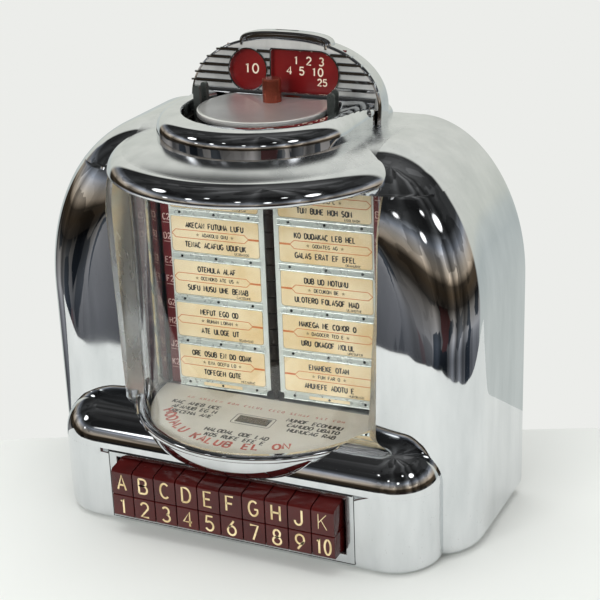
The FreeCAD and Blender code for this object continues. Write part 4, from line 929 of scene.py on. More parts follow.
GLYPHS = {
    "A": [[(0, 0), (2, 6), (4, 0)], [(0.8, 2), (3.2, 2)]],
    "B": [[(0, 0), (0, 6)], [(0, 6), *bend(2.2, 4.6, 1.4, 1.4, 90, -90), (0, 3.2)],
          [(0, 3.2), *bend(2.3, 1.6, 1.7, 1.6, 90, -90), (0, 0)]],
    "C": [bend(2.2, 3, 2.2, 3, 48, 312, 16)],
    "D": [[(0, 0), (0, 6), (1.6, 6), *bend(1.6, 3, 2.4, 3, 90, -90, 12), (0, 0)]],
    "E": [[(3.4, 6), (0, 6), (0, 0), (3.4, 0)], [(0, 3.1), (2.8, 3.1)]],
    "F": [[(3.4, 6), (0, 6), (0, 0)], [(0, 3.1), (2.8, 3.1)]],
    "G": [[*bend(2.2, 3, 2.2, 3, 48, 330, 16), (4.1, 2.7), (2.6, 2.7)]],
    "H": [[(0, 0), (0, 6)], [(3.8, 0), (3.8, 6)], [(0, 3.1), (3.8, 3.1)]],
    "J": [[(3.2, 6), (3.2, 1.7), *bend(1.6, 1.7, 1.6, 1.7, 0, -180)]],
    "K": [[(0, 0), (0, 6)], [(3.6, 6), (0, 2.4)], [(1.3, 3.6), (3.8, 0)]],
    "L": [[(0, 6), (0, 0), (3.2, 0)]],
    "M": [[(0, 0), (0.3, 6), (2.1, 2), (3.9, 6), (4.2, 0)]],
    "N": [[(0, 0), (0, 6), (3.8, 0), (3.8, 6)]],
    "O": [bend(2.1, 3, 2.1, 3, 90, 450, 20)],
    "R": [[(0, 0), (0, 6)], [(0, 6), *bend(2.2, 4.5, 1.5, 1.5, 90, -90), (0, 3)], [(1.7, 3), (3.8, 0)]],
    "S": [[*bend(1.9, 4.5, 1.7, 1.5, 40, 270), *bend(1.9, 1.5, 1.8, 1.5, 90, -140)]],
    "T": [[(0, 6), (4, 6)], [(2, 6), (2, 0)]],
    "U": [[(0, 6), (0, 1.8), *bend(1.9, 1.8, 1.9, 1.8, 180, 360), (3.8, 6)]],
    "0": [bend(2, 3, 1.9, 3, 90, 450, 20)],
    "1": [[(0.9, 4.9), (2.1, 6), (2.1, 0)]],
    "2": [[*bend(2, 4.3, 1.8, 1.7, 165, -25), (0.2, 0), (3.9, 0)]],
    "3": [[*bend(1.9, 4.5, 1.6, 1.5, 150, -80), *bend(1.9, 1.55, 1.9, 1.55, 85, -150)]],
    "4": [[(3, 0), (3, 6), (0, 1.8), (4, 1.8)]],
    "5": [[(3.6, 6), (0.7, 6), (0.4, 3.2), *bend(1.9, 1.9, 1.9, 1.9, 125, -150)]],
    "6": [[(3.1, 6), (0.8, 3.2), *bend(2, 1.9, 1.9, 1.9, 155, -205, 18)]],
    "7": [[(0.2, 6), (3.9, 6), (1.5, 0)]],
    "8": [bend(2, 4.5, 1.5, 1.5, 90, 450, 16), bend(2, 1.55, 1.9, 1.55, 90, 450, 16)],
    "9": [[(0.9, 0), (3.2, 2.8), *bend(2, 4.1, 1.9, 1.9, -25, 335, 18)]],
}
GLYPH_WIDTH = 4.0
GLYPH_HEIGHT = 6.0
GLYPH_STEP = 5.4


def stroke(shell, points, width, finish, lift=0.0):
    """A flat ribbon along points on the face y = -lift, seen from the front."""
    line = np.array(points, float)
    ahead = np.gradient(line, axis=0)
    ahead /= np.maximum(np.hypot(*ahead.T), 1e-9)[:, None]
    across = np.stack([-ahead[:, 1], ahead[:, 0]], axis=1) * width / 2
    rows = [[(a[0], -lift, a[1]), (b[0], -lift, b[1])] for a, b in zip(line + across, line - across)]
    shell.grid(rows, finish, inside=(line[0][0], 50.0, line[0][1]))


def write(shell, text, x, z, height, width, finish, lift=0.0, squeeze=1.0, middle=False):
    """A row of strokes for letters and figures, on the face y = -lift."""
    size = height / GLYPH_HEIGHT
    step = GLYPH_STEP * size * squeeze
    if middle:
        x -= (step * (len(text) - 1) + GLYPH_WIDTH * size * squeeze) / 2
    for letter in text:
        for line in GLYPHS.get(letter, []):
            stroke(shell, [(x + a * size * squeeze, z + b * size) for a, b in line], width, finish, lift)
        x += step


# ---------------------------------------------------------------------------
# Keys and bezel
# ---------------------------------------------------------------------------

CAP_BACK = -58.2
FLANGE_BACK = CAP_BACK + 3.0
FLANGE_LIP = 2.8
KEY_RISE = 1.9

# A key's foot and top, the bevels there, and the lips of its flange there
KEY_UPPER = (33.3, 53.3, 0.4, 1.9, 0.0, FLANGE_LIP)
KEY_LOWER = (15.2, 33.0, 1.33, 0.4, FLANGE_LIP, 0.0)
LEGEND_HEIGHT = 11.6
LEGEND_STROKE = 1.5
LEGEND_WORN = 0.5


def key_shape(shell, x0, x1, low, high, bevel_low, bevel_high, lip_low, lip_high):
    """A key's cap and flange, drawn across its side and carried along X."""
    rise = KEY_RISE if lip_high else 0.0
    outline = [
        (KEY_FRONT, low + bevel_low), (KEY_FRONT, high - bevel_high), (KEY_FRONT + bevel_high, high),
        (CAP_BACK, high + rise), (CAP_BACK, high + rise + lip_high), (FLANGE_BACK, high + rise + lip_high),
        (FLANGE_BACK, low - lip_low), (CAP_BACK, low - lip_low), (CAP_BACK, low),
        (KEY_FRONT + bevel_low, low),
    ]
    clean = [p for n, p in enumerate(outline) if math.dist(p, outline[n - 1]) > 0.01]
    left = [(x0, y, z) for y, z in clean]
    right = [(x1, y, z) for y, z in clean]
    count = len(clean)
    faces = [(n, (n + 1) % count, (n + 1) % count + count, n + count) for n in range(count)]
    faces += [tuple(reversed(range(count))), tuple(range(count, 2 * count))]
    shell.add(left + right, faces)


def fix_normals(piece):
    """Turn a closed piece's faces outward."""
    shape = bmesh.new()
    shape.from_mesh(piece.data)
    bmesh.ops.recalc_face_normals(shape, faces=shape.faces)
    shape.to_mesh(piece.data)
    shape.free()
    return piece


def key(column, upper):
    """One key with its engraved legend, filled with cream paint."""
    x0 = (column - KEY_COUNT / 2) * KEY_PITCH + (KEY_PITCH - KEY_WIDTH) / 2
    x1 = x0 + KEY_WIDTH
    legend = LETTERS[column] if upper else str(column + 1)
    name = legend.lower()
    sizes = KEY_UPPER if upper else KEY_LOWER
    cap = Shell()
    key_shape(cap, x0, x1, *sizes)
    made = fix_normals(cap.piece("key_" + name, ["key_maroon"], bevel=0.8))
    smooth(made.data, 50)
    settle(made, "key_" + name, "key_red", "key_" + name)
    mark = Shell()
    width = LEGEND_WORN if legend == "K" else LEGEND_STROKE
    squeeze = 0.62 if len(legend) > 1 else 0.86
    foot = (sizes[0] + sizes[1]) / 2 - LEGEND_HEIGHT / 2 + 0.3
    write(mark, legend, (x0 + x1) / 2, foot, LEGEND_HEIGHT, width, 0, 0.0, squeeze, True)
    mark.place(Matrix.Translation((0, KEY_FRONT - 0.03, 0)))
    settle(mark.piece("legend_" + name, ["key_cream"]), "key_" + name, "key_red")


def keys():
    """Ten lettered keys over ten numbered ones."""
    for column in range(KEY_COUNT):
        key(column, True)
        key(column, False)


def ring_rows(shell, outer, inner, y_outer, y_inner, finish=0):
    """The band between two upright rectangles, given as (x half, z low, z high)."""
    rows = [facing([(-half, low), (half, low), (half, high), (-half, high)], y)
            for (half, low, high), y in ((outer, y_outer), (inner, y_inner))]
    shell.grid(rows, finish, around=True)


def bezel():
    """The bright plate round the keys, bevelled into its opening, whose deep inner faces are painted shade,
    with a thin ring of painted shadow in the seam outside it.
    """
    half = KEY_PITCH * KEY_COUNT / 2 + 1.9
    edge = half + 6.8
    front = HOUSING_FRONT
    shell = Shell()
    steps = [
        ((edge - 0.2, 6.4, 60.4), front + 2.0, 0), ((edge - 0.2, 6.4, 60.4), front - 0.1, 0),
        ((edge - 0.9, 7.1, 59.7), front - 0.7, 0), ((half + 2.4, 11.4, 58.3), front - 0.7, 0),
        ((half + 0.6, 13.2, 56.5), front - 0.1, 0), ((half, 13.8, 55.9), front + 0.9, 0),
        # the last two steps, deep in the opening, are painted shade
        ((half, 13.8, 55.9), front + 2.6, 1), ((half + 2, 9.8, 58.2), front + 2.9, 1),
    ]
    for (outer, y0, _), (inner, y1, finish) in zip(steps, steps[1:]):
        ring_rows(shell, outer, inner, y0, y1, finish)
    made = shell.piece("bezel", ["bezel_plate", "painted_hollow_shade"], crease=20)
    settle(made, "case", "bezel_metal", "key_bezel")
    # a thin ring of painted shadow for the gap round the bezel
    seam = Shell()
    ring_rows(seam, (edge + 0.35, 5.9, 60.9), (edge - 0.25, 6.5, 60.3), front - 0.06, front - 0.06)
    settle(seam.piece("bezel_seam_shade", ["painted_hollow_shade"]), "case", "black_plastic")


# ---------------------------------------------------------------------------
# Title leaves
# ---------------------------------------------------------------------------

STRIP_WIDTH = 70.6
STRIP_LEFT = 1.2
LEAF_WIDTH = 73.4
ROW_PITCH = (PAGE_HIGH - PAGE_LOW - 4.0) / PAGE_ROWS
SHEET_HALF = 0.5
CONSONANTS = "BCDFGHKLMNRST"
VOWELS = "AEOU"

# Print on a title strip, as (height, stroke), and the lozenge's half height and slanted ends
TITLE_PRINT = (3.9, 1.0)
ARTIST_PRINT = (2.5, 0.6)
NUMBER_PRINT = (1.7, 0.36)
LOZENGE_HALF = 3.1
LOZENGE_END = 3.2

# The leaves' angles on the rod, the side of each that lies open, and the fixed pages' angles
LEAF_TURNS = ((3.0, 0), (-9.0, None), (183.0, 180), (195.0, None))
FIXED_TURNS = (-21.0, 207.0)
KNUCKLE_FOOT = 88.0
KNUCKLE_LENGTH = 12.0
KNUCKLE_STEP = KNUCKLE_LENGTH + 0.6
KNUCKLE_RADIUS = 3.6
RIVET_RADIUS = 1.15
RIVET_SPREAD = (9.0, LEAF_WIDTH / 2, LEAF_WIDTH - 9.0)


def rounded(width, height, radius, steps=4):
    """A rounded rectangle from its lower left corner, as (x, z) points."""
    points = []
    for cx, cz, start in ((width - radius, height - radius, 0), (radius, height - radius, 90),
                          (radius, radius, 180), (width - radius, radius, 270)):
        points += arc((cx, cz), radius, start, start + 90, steps)
    return points


def flat(shell, points, finish, lift):
    """A flat outline on the face y = -lift, seen from the front."""
    shell.caps([facing(points, -lift)], finish, (points[0][0], 50.0, points[0][1]))


def star(shell, x, z, size, finish, lift):
    """A small five-pointed star."""
    points = []
    for n in range(10):
        r = size if n % 2 == 0 else size * 0.42
        a = math.radians(90 + 36 * n)
        points.append((x + r * math.cos(a), z + r * math.sin(a)))
    faces = [(n, (n + 1) % 10, 10) for n in range(10)]
    shell.add(facing(points + [(x, z)], -lift), faces, finish, (x, 50.0, z))


def words(chance, letters):
    """Letters in a row, broken up like words."""
    text = ""
    while len(text) < letters:
        first = chance.randint(0, 1)
        length = chance.randint(2, 7)
        text += "".join(chance.choice((VOWELS, CONSONANTS)[(n + first) % 2]) for n in range(length)) + " "
    return text[:letters]


def strip(shell, chance, z0, height, rod_side):
    """One title strip: paper, two titles, and an artist line in a long lozenge tied to the rod's side."""
    lift = SHEET_HALF + 0.1
    flat(shell, [(STRIP_LEFT + x, z0 + z) for x, z in rounded(STRIP_WIDTH, height, 2.4)], PAPER, lift)
    rim = rounded(STRIP_WIDTH - 0.4, height - 0.4, 2.3)
    edge_line = [(STRIP_LEFT + 0.2 + x, z0 + 0.2 + z) for x, z in rim + rim[:1]]
    stroke(shell, edge_line, 0.35, EDGE, lift + 0.02)
    lift += 0.03
    middle = STRIP_LEFT + STRIP_WIDTH / 2
    centre = z0 + height * 0.50
    for z in (z0 + height * 0.70 - 0.4, z0 + height * 0.15):
        text = words(chance, chance.randint(12, 19)).strip()
        write(shell, text, middle, z, *TITLE_PRINT, INK, lift, 0.74, True)
    artist = words(chance, chance.randint(9, 14)).strip()
    write(shell, artist, middle, centre - 1.2, *ARTIST_PRINT, INK, lift, 0.85, True)
    far, near = -STRIP_WIDTH / 2 + 0.4, STRIP_WIDTH / 2 - 8.5
    left, right, rise = far + LOZENGE_END, near - LOZENGE_END, LOZENGE_HALF
    lozenge = [(far, 0), (left, rise), (right, rise), (near, 0), (right, -rise), (left, -rise), (far, 0)]
    tie = [(near, 0), (STRIP_WIDTH / 2 - 0.4, 0)]
    for a, b, width in [(*ends, 0.55) for ends in zip(lozenge, lozenge[1:])] + [(*tie, 1.5)]:
        line = [(middle + rod_side * x, centre + z) for x, z in (a, b)]
        stroke(shell, line, width, ORANGE, lift)
    for side in (-1, 1):
        star(shell, middle + side * (len(artist) * 0.85 + 4.5), centre, 1.5, EDGE, lift + 0.01)
    number = words(chance, 9).replace(" ", "")
    write(shell, number, STRIP_LEFT + STRIP_WIDTH - 20, z0 + 1.0, *NUMBER_PRINT, INK, lift, 0.95)


def page_face(shell, chance, rod_side, shown):
    """One printed side of a leaf, drawn facing forward with its left edge at x = 0."""
    outline = [(x, PAGE_LOW + z) for x, z in rounded(LEAF_WIDTH, PAGE_HIGH - PAGE_LOW, 3.0)]
    flat(shell, outline, SHEET, SHEET_HALF)
    for row in range(PAGE_ROWS):
        z = PAGE_LOW + 4.0 + row * ROW_PITCH
        strip(shell, chance, z + 1.1, ROW_PITCH - BAR_HEIGHT, rod_side)
        bar(shell, z - BAR_HEIGHT + 0.6, rod_side, shown)
    bar(shell, PAGE_HIGH - 5.4, rod_side, shown)
    tab = [(LEAF_WIDTH / 2 - 16 + x, PAGE_LOW + 0.5 + z) for x, z in rounded(32.0, 2.6, 0.6)]
    flat(shell, tab, PAPER, SHEET_HALF + 0.9)


def bar(shell, z, rod_side, shown):
    """A rounded metal bar across the leaf, its lower edge turned out; plainer where leaves lie close."""
    low, high = (0.8, LEAF_WIDTH - 0.8) if shown else (0.8, LEAF_WIDTH - 10.0)
    if rod_side < 0:
        low, high = LEAF_WIDTH - high, LEAF_WIDTH - low
    out = 1.0 if shown else 0.55
    top = z + BAR_HEIGHT
    profile = [(0.0, top), (0.9, top - 0.3), (1.1, top - 1.0), (0.5, top - 1.5), (0.4, z + 2.2),
               (0.5, z + 1.6), (1.3, z + 1.2), (1.5, z + 0.6), (1.2, z + 0.1), (0.0, z)]
    rows = [[(x, -SHEET_HALF - lift * out, height) for lift, height in profile] for x in (low, high)]
    shell.grid(rows, BAR, (LEAF_WIDTH / 2, 50.0, z + 2))
    shell.caps(rows, BAR, (LEAF_WIDTH / 2, 0.0, z + 2))


def page(seed, front):
    """A leaf with both sides printed, drawn along -X from the rod; front is the side that lies open."""
    chance = random.Random(seed)
    whole = Shell()
    for turn in (0, 180):
        side = Shell()
        page_face(side, chance, 1 if turn == 0 else -1, turn == front)
        left = Matrix.Translation((LEAF_LEFT + (LEAF_WIDTH if turn else 0.0), 0, 0))
        whole.merge(side.place(left @ Matrix.Rotation(math.radians(turn), 4, "Z")))
    rim = [(LEAF_LEFT + x, PAGE_LOW + z) for x, z in rounded(LEAF_WIDTH, PAGE_HIGH - PAGE_LOW, 3.0)]
    rows = [facing(rim, y) for y in (-SHEET_HALF, SHEET_HALF)]
    whole.grid(rows, SHEET, (-40.0, 0, 170), around=True)
    if front is not None:
        out = -1 if front == 0 else 1
        near, far = sorted((out * 0.2, out * 0.7))
        whole.block((-7.6, near, PAGE_LOW + 3.0), (-3.9, far, PAGE_HIGH - 2), SHEET)
    return whole


def hang(degrees):
    """Where a leaf hangs, turned about the rod."""
    return Matrix.Translation((0, ROD_Y, 0)) @ Matrix.Rotation(math.radians(degrees), 4, "Z")


def knuckle_set(shell, slot):
    """The rolled knuckles that carry a leaf on the rod, and the arm from each to the sheet."""
    ring = [(KNUCKLE_RADIUS * math.cos(t), KNUCKLE_RADIUS * math.sin(t)) for t in whole_turn(20)]
    z = KNUCKLE_FOOT + slot * KNUCKLE_STEP
    while z + KNUCKLE_LENGTH < PAGE_HIGH:
        top = z + KNUCKLE_LENGTH
        levels = ((z, 0.6), (z, 0.9), (z + 0.4, 1), (top - 0.4, 1), (top, 0.9), (top, 0.6))
        rows = [[(x * share, y * share, height) for x, y in ring] for height, share in levels]
        shell.grid(rows, KNUCKLE, (0, 0, z + KNUCKLE_LENGTH / 2), around=True)
        shell.block((-8.0, -0.5, z + 1.0), (-3.2, 0.5, top - 1.0), KNUCKLE)
        z += 4 * KNUCKLE_STEP


def rivet_tree():
    """Geometry Nodes: a low dome on every point of a mesh, made real and given a finish."""
    tree = bpy.data.node_groups.new("rivets", "GeometryNodeTree")
    for name, way, kind in (("Points", "INPUT", "Geometry"), ("Rivet radius", "INPUT", "Float"),
                            ("Finish", "INPUT", "Material"), ("Rivets", "OUTPUT", "Geometry")):
        tree.interface.new_socket(name, in_out=way, socket_type="NodeSocket" + kind)
    start, end, ball, soft, copies, real, finish = (tree.nodes.new(kind) for kind in (
        "NodeGroupInput", "NodeGroupOutput", "GeometryNodeMeshUVSphere", "GeometryNodeSetShadeSmooth",
        "GeometryNodeInstanceOnPoints", "GeometryNodeRealizeInstances", "GeometryNodeSetMaterial"))
    ball.inputs["Segments"].default_value = 8
    ball.inputs["Rings"].default_value = 5
    for source, output, target, socket in (
            (start, "Rivet radius", ball, "Radius"), (ball, "Mesh", soft, "Geometry"),
            (start, "Points", copies, "Points"), (soft, "Geometry", copies, "Instance"),
            (copies, "Instances", real, "Geometry"), (real, "Geometry", finish, "Geometry"),
            (start, "Finish", finish, "Material"), (finish, "Geometry", end, "Rivets")):
        tree.links.new(source.outputs[output], target.inputs[socket])
    return tree


RIVETS = rivet_tree()


def rivets(name, places):
    """A plain mesh of rivets at the places given, in millimetres."""
    points = bpy.data.meshes.new(name + "_points")
    points.from_pydata([Vector(p) * MM for p in places], [], [])
    carrier = linked(name + "_carrier", points)
    modifier = carrier.modifiers.new("rivets", "NODES")
    modifier.node_group = RIVETS
    sockets = {item.name: item.identifier for item in RIVETS.interface.items_tree if item.in_out == "INPUT"}
    modifier[sockets["Rivet radius"]] = RIVET_RADIUS * MM
    modifier[sockets["Finish"]] = FINISHES["lug_metal"]
    return linked(name, evaluated_mesh(carrier))


def leaf_rivets(name, body, degrees):
    """Three rivets on each bar, on both sides of a leaf."""
    places = []
    for x in RIVET_SPREAD:
        for row in range(PAGE_ROWS + 1):
            z = PAGE_LOW + 4.0 + row * ROW_PITCH - 2.2 if row < PAGE_ROWS else PAGE_HIGH - 2.4
            for lift in (-SHEET_HALF - 0.4, SHEET_HALF + 0.4):
                places.append(hang(degrees) @ Vector((LEAF_LEFT + x, lift, z)))
    settle(rivets(name, places), body, "page_metal")


def leaves():
    """Four turning leaves and the two fixed pages behind them."""
    finishes = ["page_metal", "page_bar", "paper", "ink", "ink_orange", "paper_edge", "rod_dark"]
    for slot, (degrees, front) in enumerate(LEAF_TURNS):
        name = "leaf_%d" % (slot + 1)
        shell = page(40 + slot, front)
        knuckle_set(shell, slot)
        shell.place(hang(degrees))
        settle(shell.piece(name + "_page", finishes), name, "page_metal", name)
        leaf_rivets(name + "_rivets", name, degrees)
    both = Shell()
    for n, degrees in enumerate(FIXED_TURNS):
        both.merge(page(60 + n, None).place(hang(degrees)))
    settle(both.piece("fixed_page_pair", finishes), "case", "page_metal", "fixed_pages")


# ---------------------------------------------------------------------------
# Labels, floor card, lens
# ---------------------------------------------------------------------------

def labels():
    """The two upright code labels beside the pages, with a code for each title."""
    shell = Shell()
    for left, right, figure in ((-89.4, -80.8, "2"), (80.8, 89.4, "7")):
        shell.block((left, LABEL_FACE, 81.2), (right, LABEL_FACE + 1.7, 261.0))
        for row in range(PAGE_ROWS):
            for half in (0, 1):
                z = PAGE_LOW + 4 + row * ROW_PITCH + 8.0 + half * 15.0
                code = LETTERS[(PAGE_ROWS - 1 - row) * 2 + (1 - half)] + figure
                marks = Shell()
                write(marks, code, (left + right) / 2, z, *LABEL_PRINT, 1, 0.0, 0.8, True)
                stroke(marks, [(left + 1.0, z - 2.2), (right - 1.0, z - 2.2)], 0.35, 1)
                shell.merge(marks.place(Matrix.Translation((0, LABEL_FACE - 0.05, 0))))
    made = shell.piece("label_pair", ["label_maroon", "label_pink"])
    settle(made, "case", "label_red", "selection_labels")


LABEL_FACE = 23.4
LABEL_PRINT = (4.6, 0.75)
CARD_Z = 82.4
CARD_THICKNESS = 1.2
CARD_RADIUS = 90.4
CARD_BACK = 17.5
RED_ARC = 80.0
BACK_LINE = -1.0
DARK_PRINT = (4.8, 1.2)
RED_PRINT = (8.0, 1.9)
BACK_PRINT = (3.0, 0.55)
LENS_FRAME = (31.0, 15.0, 2.0)
LENS_CORNER = (-13.6, -27.3)

# Blocks of print on the card: middle, first line, letters in it, lines
CARD_PRINT = ((-50.0, -12.0, 12, 3), (46.0, -12.0, 13, 3), (0.0, -45.0, 15, 2))


def red_letter(letter, turn):
    """One red letter on an arc round the window's axis, leaning with the arc."""
    block = Shell()
    write(block, letter, 0.0, 0.0, *RED_PRINT, RED, 0.0, 0.9, True)
    x, z = on_circle(RED_ARC, turn)
    return block.place(Matrix.Translation((x, 0, z)) @ Matrix.Rotation(-0.6 * turn, 4, "Y"))


def floor_card():
    """The printed card under the pages: rows of dark print, an arc of red letters in front of them, a
    faint red row behind, and the frame of the lens."""
    shell = Shell()
    ahead = math.acos((AXIS_Y - CARD_BACK) / CARD_RADIUS)
    rim = [on_circle(CARD_RADIUS, a) for a in np.linspace(-ahead, ahead, 90)]
    sheets = [level(rim, z) for z in (CARD_Z, CARD_Z - CARD_THICKNESS)]
    shell.caps(sheets, CARD, (0, -20, CARD_Z - CARD_THICKNESS / 2))
    shell.grid(sheets, CARD, (0, -20, CARD_Z), around=True)
    chance = random.Random(7)
    marks = Shell()
    for middle, top, letters, rows in CARD_PRINT:
        for row in range(rows):
            text = words(chance, letters - row).strip()
            write(marks, text, middle + 2.0 * row, top - 7.4 * row, *DARK_PRINT, PRINT, 0.0, 0.78, True)
    for n, letter in enumerate(words(chance, 19)):
        marks.merge(red_letter(letter, math.radians(-56 + 5.2 * n)))
    for n, letter in enumerate(words(chance, 38)):
        write(marks, letter, -62.0 + 3.4 * n, BACK_LINE, *BACK_PRINT, RED, 0.0, 0.8, True)
    rim = rounded(*LENS_FRAME)
    left, low = LENS_CORNER
    stroke(marks, [(left + x, low + z) for x, z in rim + rim[:1]], 0.6, PRINT)
    flat_down = Matrix.Translation((0, 0, CARD_Z + 0.05)) @ Matrix.Rotation(-math.pi / 2, 4, "X")
    shell.merge(marks.place(flat_down))
    settle(shell.piece("printed_card", ["card_paper", "ink_soft", "ink_red"]), "case", "paper", "floor_card")


# ---------------------------------------------------------------------------
# Glass, disc, post
# ---------------------------------------------------------------------------

PANE_FOOT = 85.0
PANE_HEAD = 268.0
DISC_RIM = 46.6
DISC_Y = 23.5
DISC_BACK = 51.0
POST_RADIUS = 6.7
POST_Y = 38.0
POST_TOP = 321.5
POST_SOFT = 1.1
# height of the rings of painted shade below the disc
DISC_SHADE_Z = 296.0


def window_pane():
    """The curved pane, closed all round."""
    shell = Shell()
    inner = GLASS_RADIUS - GLASS_THICKNESS
    profile = [(GLASS_RADIUS, PANE_FOOT), (GLASS_RADIUS, PANE_HEAD), (inner, PANE_HEAD), (inner, PANE_FOOT)]
    profile.append(profile[0])
    rows = turned(profile, sweep(-GLASS_ANGLE, GLASS_ANGLE, 120))
    shell.grid(rows)
    shell.caps([[row[column] for row in rows[:-1]] for column in (0, -1)])
    settle(fix_normals(shell.piece("pane", ["clear_pane"])), "case", "clear", "window_glass")


def disc():
    """The bright disc, cut straight at the back."""
    shell = Shell()
    rim = DISC_RIM
    profile = [(0.01, 305.0), (rim - 3.4, 305.0), (rim - 2.9, 305.25), (rim - 1.0, 305.25),
               (rim - 0.3, 305.0), (rim, 304.3), (rim, 301.6), (rim - 0.6, 301.0), (0.01, 301.0)]
    rows = []
    for radius, z in profile:
        places = [on_circle(radius, 2 * math.pi * n / 96, DISC_Y) for n in range(96)]
        rows.append([(x, min(y, DISC_BACK), z) for x, y in places])
    shell.grid(rows, PLAIN, (0, DISC_Y, 303), around=True)
    settle(shell.piece("disc", ["disc_plate"], crease=30), "case", "disc_metal", "top_disc")


def post():
    """The domed copper-red post of the return."""
    shell = Shell()
    profile = [(0.01, POST_TOP)]
    for t in np.linspace(0, math.pi / 2, 6):
        radius = POST_RADIUS - POST_SOFT + POST_SOFT * math.sin(t)
        profile.append((radius, POST_TOP - POST_SOFT + POST_SOFT * math.cos(t)))
    profile += [(POST_RADIUS, 283.0), (0.01, 283.0)]
    rows = [level([on_circle(r, a, POST_Y) for a in whole_turn(48)], z) for r, z in profile]
    shell.grid(rows, PLAIN, (0, POST_Y, 300), around=True)
    settle(shell.piece("post", ["copper_red"], crease=40), "return_post", "copper_red", "return_post")


def disc_shade_rings():
    """Dark flat rings of painted shade round the disc, for the depth below it, which leave the levers' gap
    between them.
    """
    shell = Shell()
    for low, high, middle in ((30.0, 48.2, 24.0), (52.8, 55.2, OPENING_Y)):
        rows = []
        for radius in (low, high):
            places = [on_circle(radius, a, middle) for a in np.linspace(-2.2, 2.2, 90)]
            rows.append([(x, min(y, 52.8), DISC_SHADE_Z) for x, y in places])
        shell.grid(rows, PLAIN, (0, 20, 200))
    settle(shell.piece("disc_shade_rings", ["painted_hollow_shade"]), "case", "black_plastic")


# ---------------------------------------------------------------------------
# Crown
# ---------------------------------------------------------------------------

def crown_outline(inset):
    """The arch from its right foot to its left, as (x, height)."""
    half, high = CROWN_HALF - inset, CROWN_HEIGHT - inset
    points = [(half * max(math.cos(t), 0.0) ** 0.85, high * math.sin(t) ** 0.95) for t in quarter(30)]
    points[-1] = (0.0, high)
    return points + [(-x, z) for x, z in reversed(points[:-1])]


def price_outline(grow):
    """The window with one round end."""
    half = PRICE_HALF + grow
    centre = PRICE_RIGHT - PRICE_HALF
    left = PRICE_LEFT - grow
    points = arc((centre, CROWN_WINDOW_Z), half, -90, 90, 16)
    points += arc((left + 1.6, CROWN_WINDOW_Z + half - 1.6), 1.6, 90, 180, 4)
    points += arc((left + 1.6, CROWN_WINDOW_Z - half + 1.6), 1.6, 180, 270, 4)
    return points


def coin_outline(grow):
    """The round window."""
    return arc((COIN_X, CROWN_WINDOW_Z), COIN_RADIUS + grow, 0, 360, 40)[:-1]


def plate_with_holes(name, outlines):
    """A flat face inside the first outline and outside the others, on y = 0."""
    curve = bpy.data.curves.new(name, "CURVE")
    curve.dimensions = "2D"
    curve.fill_mode = "BOTH"
    for outline in outlines:
        line = curve.splines.new("POLY")
        line.points.add(len(outline) - 1)
        for point, (x, z) in zip(line.points, outline):
            point.co = (x * MM, z * MM, 0.0, 1.0)
        line.use_cyclic_u = True
    mesh = evaluated_mesh(linked(name, curve))
    points = [(v.co.x / MM, 0.0, v.co.y / MM) for v in mesh.vertices]
    faces = [tuple(p.vertices) for p in mesh.polygons]
    bpy.data.meshes.remove(mesh)
    return points, faces


def leaned():
    """Crown drawings, from x and height on y = 0, to their leaned place."""
    foot = Matrix.Translation((0, CROWN_FACE, CROWN_BASE))
    return foot @ Matrix.Rotation(math.radians(-CROWN_LEAN), 4, "X")


def crown():
    """The finned crown: face with two framed windows, hood, base roll and stepped cap."""
    shell = Shell()
    outlines = [crown_outline(CROWN_EDGE), coin_outline(FRAME_GROW), price_outline(FRAME_GROW)]
    shell.add(*plate_with_holes("crown_face", outlines), 2, (0, 50, 20))
    hood(shell)
    roll = [[(x, 1.0 + 4.5 * math.cos(a), 4.5 + 4.5 * math.sin(a)) for a in whole_turn(24)]
            for x in (-71.5, 71.5)]
    shell.grid(roll, 0, (0, 1, 4.5), around=True)
    shell.caps(roll, 0, (0, 1, 4.5))
    for outline in (coin_outline, price_outline):
        shell.grid([facing(outline(grow), depth) for grow, depth in FRAME_STEPS], 0, around=True)
    cap = [facing(cap_outline(inset), depth) for inset, depth in CAP_STEPS]
    shell.grid(cap, 0, (0, 8, CROWN_HEIGHT - 8))
    shell.caps([cap[0], cap[-1]], 0, (0, 8, CROWN_HEIGHT))
    # the coin slot is a flat face of painted shade, not an opening
    slot = [(-9, 5.6), (9, 5.6), (9, 8.0), (-9, 8.0)]
    shell.caps([level(slot, CROWN_HEIGHT + CAP_HIGH + 0.03)], 1, (0, 8, 0))
    fins(shell)
    shell.place(leaned())
    made = shell.piece("crown_shell", ["chrome_trim", "painted_hollow_shade", "chrome_satin"], crease=32)
    settle(made, "case", "chrome", "crown")


def hood(shell):
    """The crown's rounded edge and the hood behind its face, down into the deck."""
    steps = [(CROWN_EDGE * (1 - math.sin(t)), CROWN_EDGE * (1 - math.cos(t))) for t in quarter(6)]
    steps += [(HOOD_ROUND * (1 - math.cos(t)), CROWN_DEPTH - HOOD_ROUND + HOOD_ROUND * math.sin(t))
              for t in quarter(10)[1:]]
    rows = []
    for inset, y in steps:
        arch = facing(crown_outline(inset), y)
        right, left = ((x * 0.996, y, HOOD_FOOT) for x, y, z in (arch[0], arch[-1]))
        rows.append([right, *arch, left])
    shell.grid(rows, 0, (0, 10, 10))
    shell.caps(rows[-1:], 0, (0, 0, 10))


def cap_outline(inset):
    """The cap's arched outline on top of the crown, flat in the middle and rounded down at its ends."""
    steps = 28
    points = []
    for n in range(steps + 1):
        t = math.pi * n / steps
        reach = math.copysign(abs(math.cos(t)) ** 0.8, math.cos(t))
        rise = (CAP_HIGH + 7.0 - inset) * math.sin(t) ** 0.5
        points.append(((CAP_HALF - inset * 1.6) * reach, CROWN_HEIGHT - 7.0 + rise))
    return points


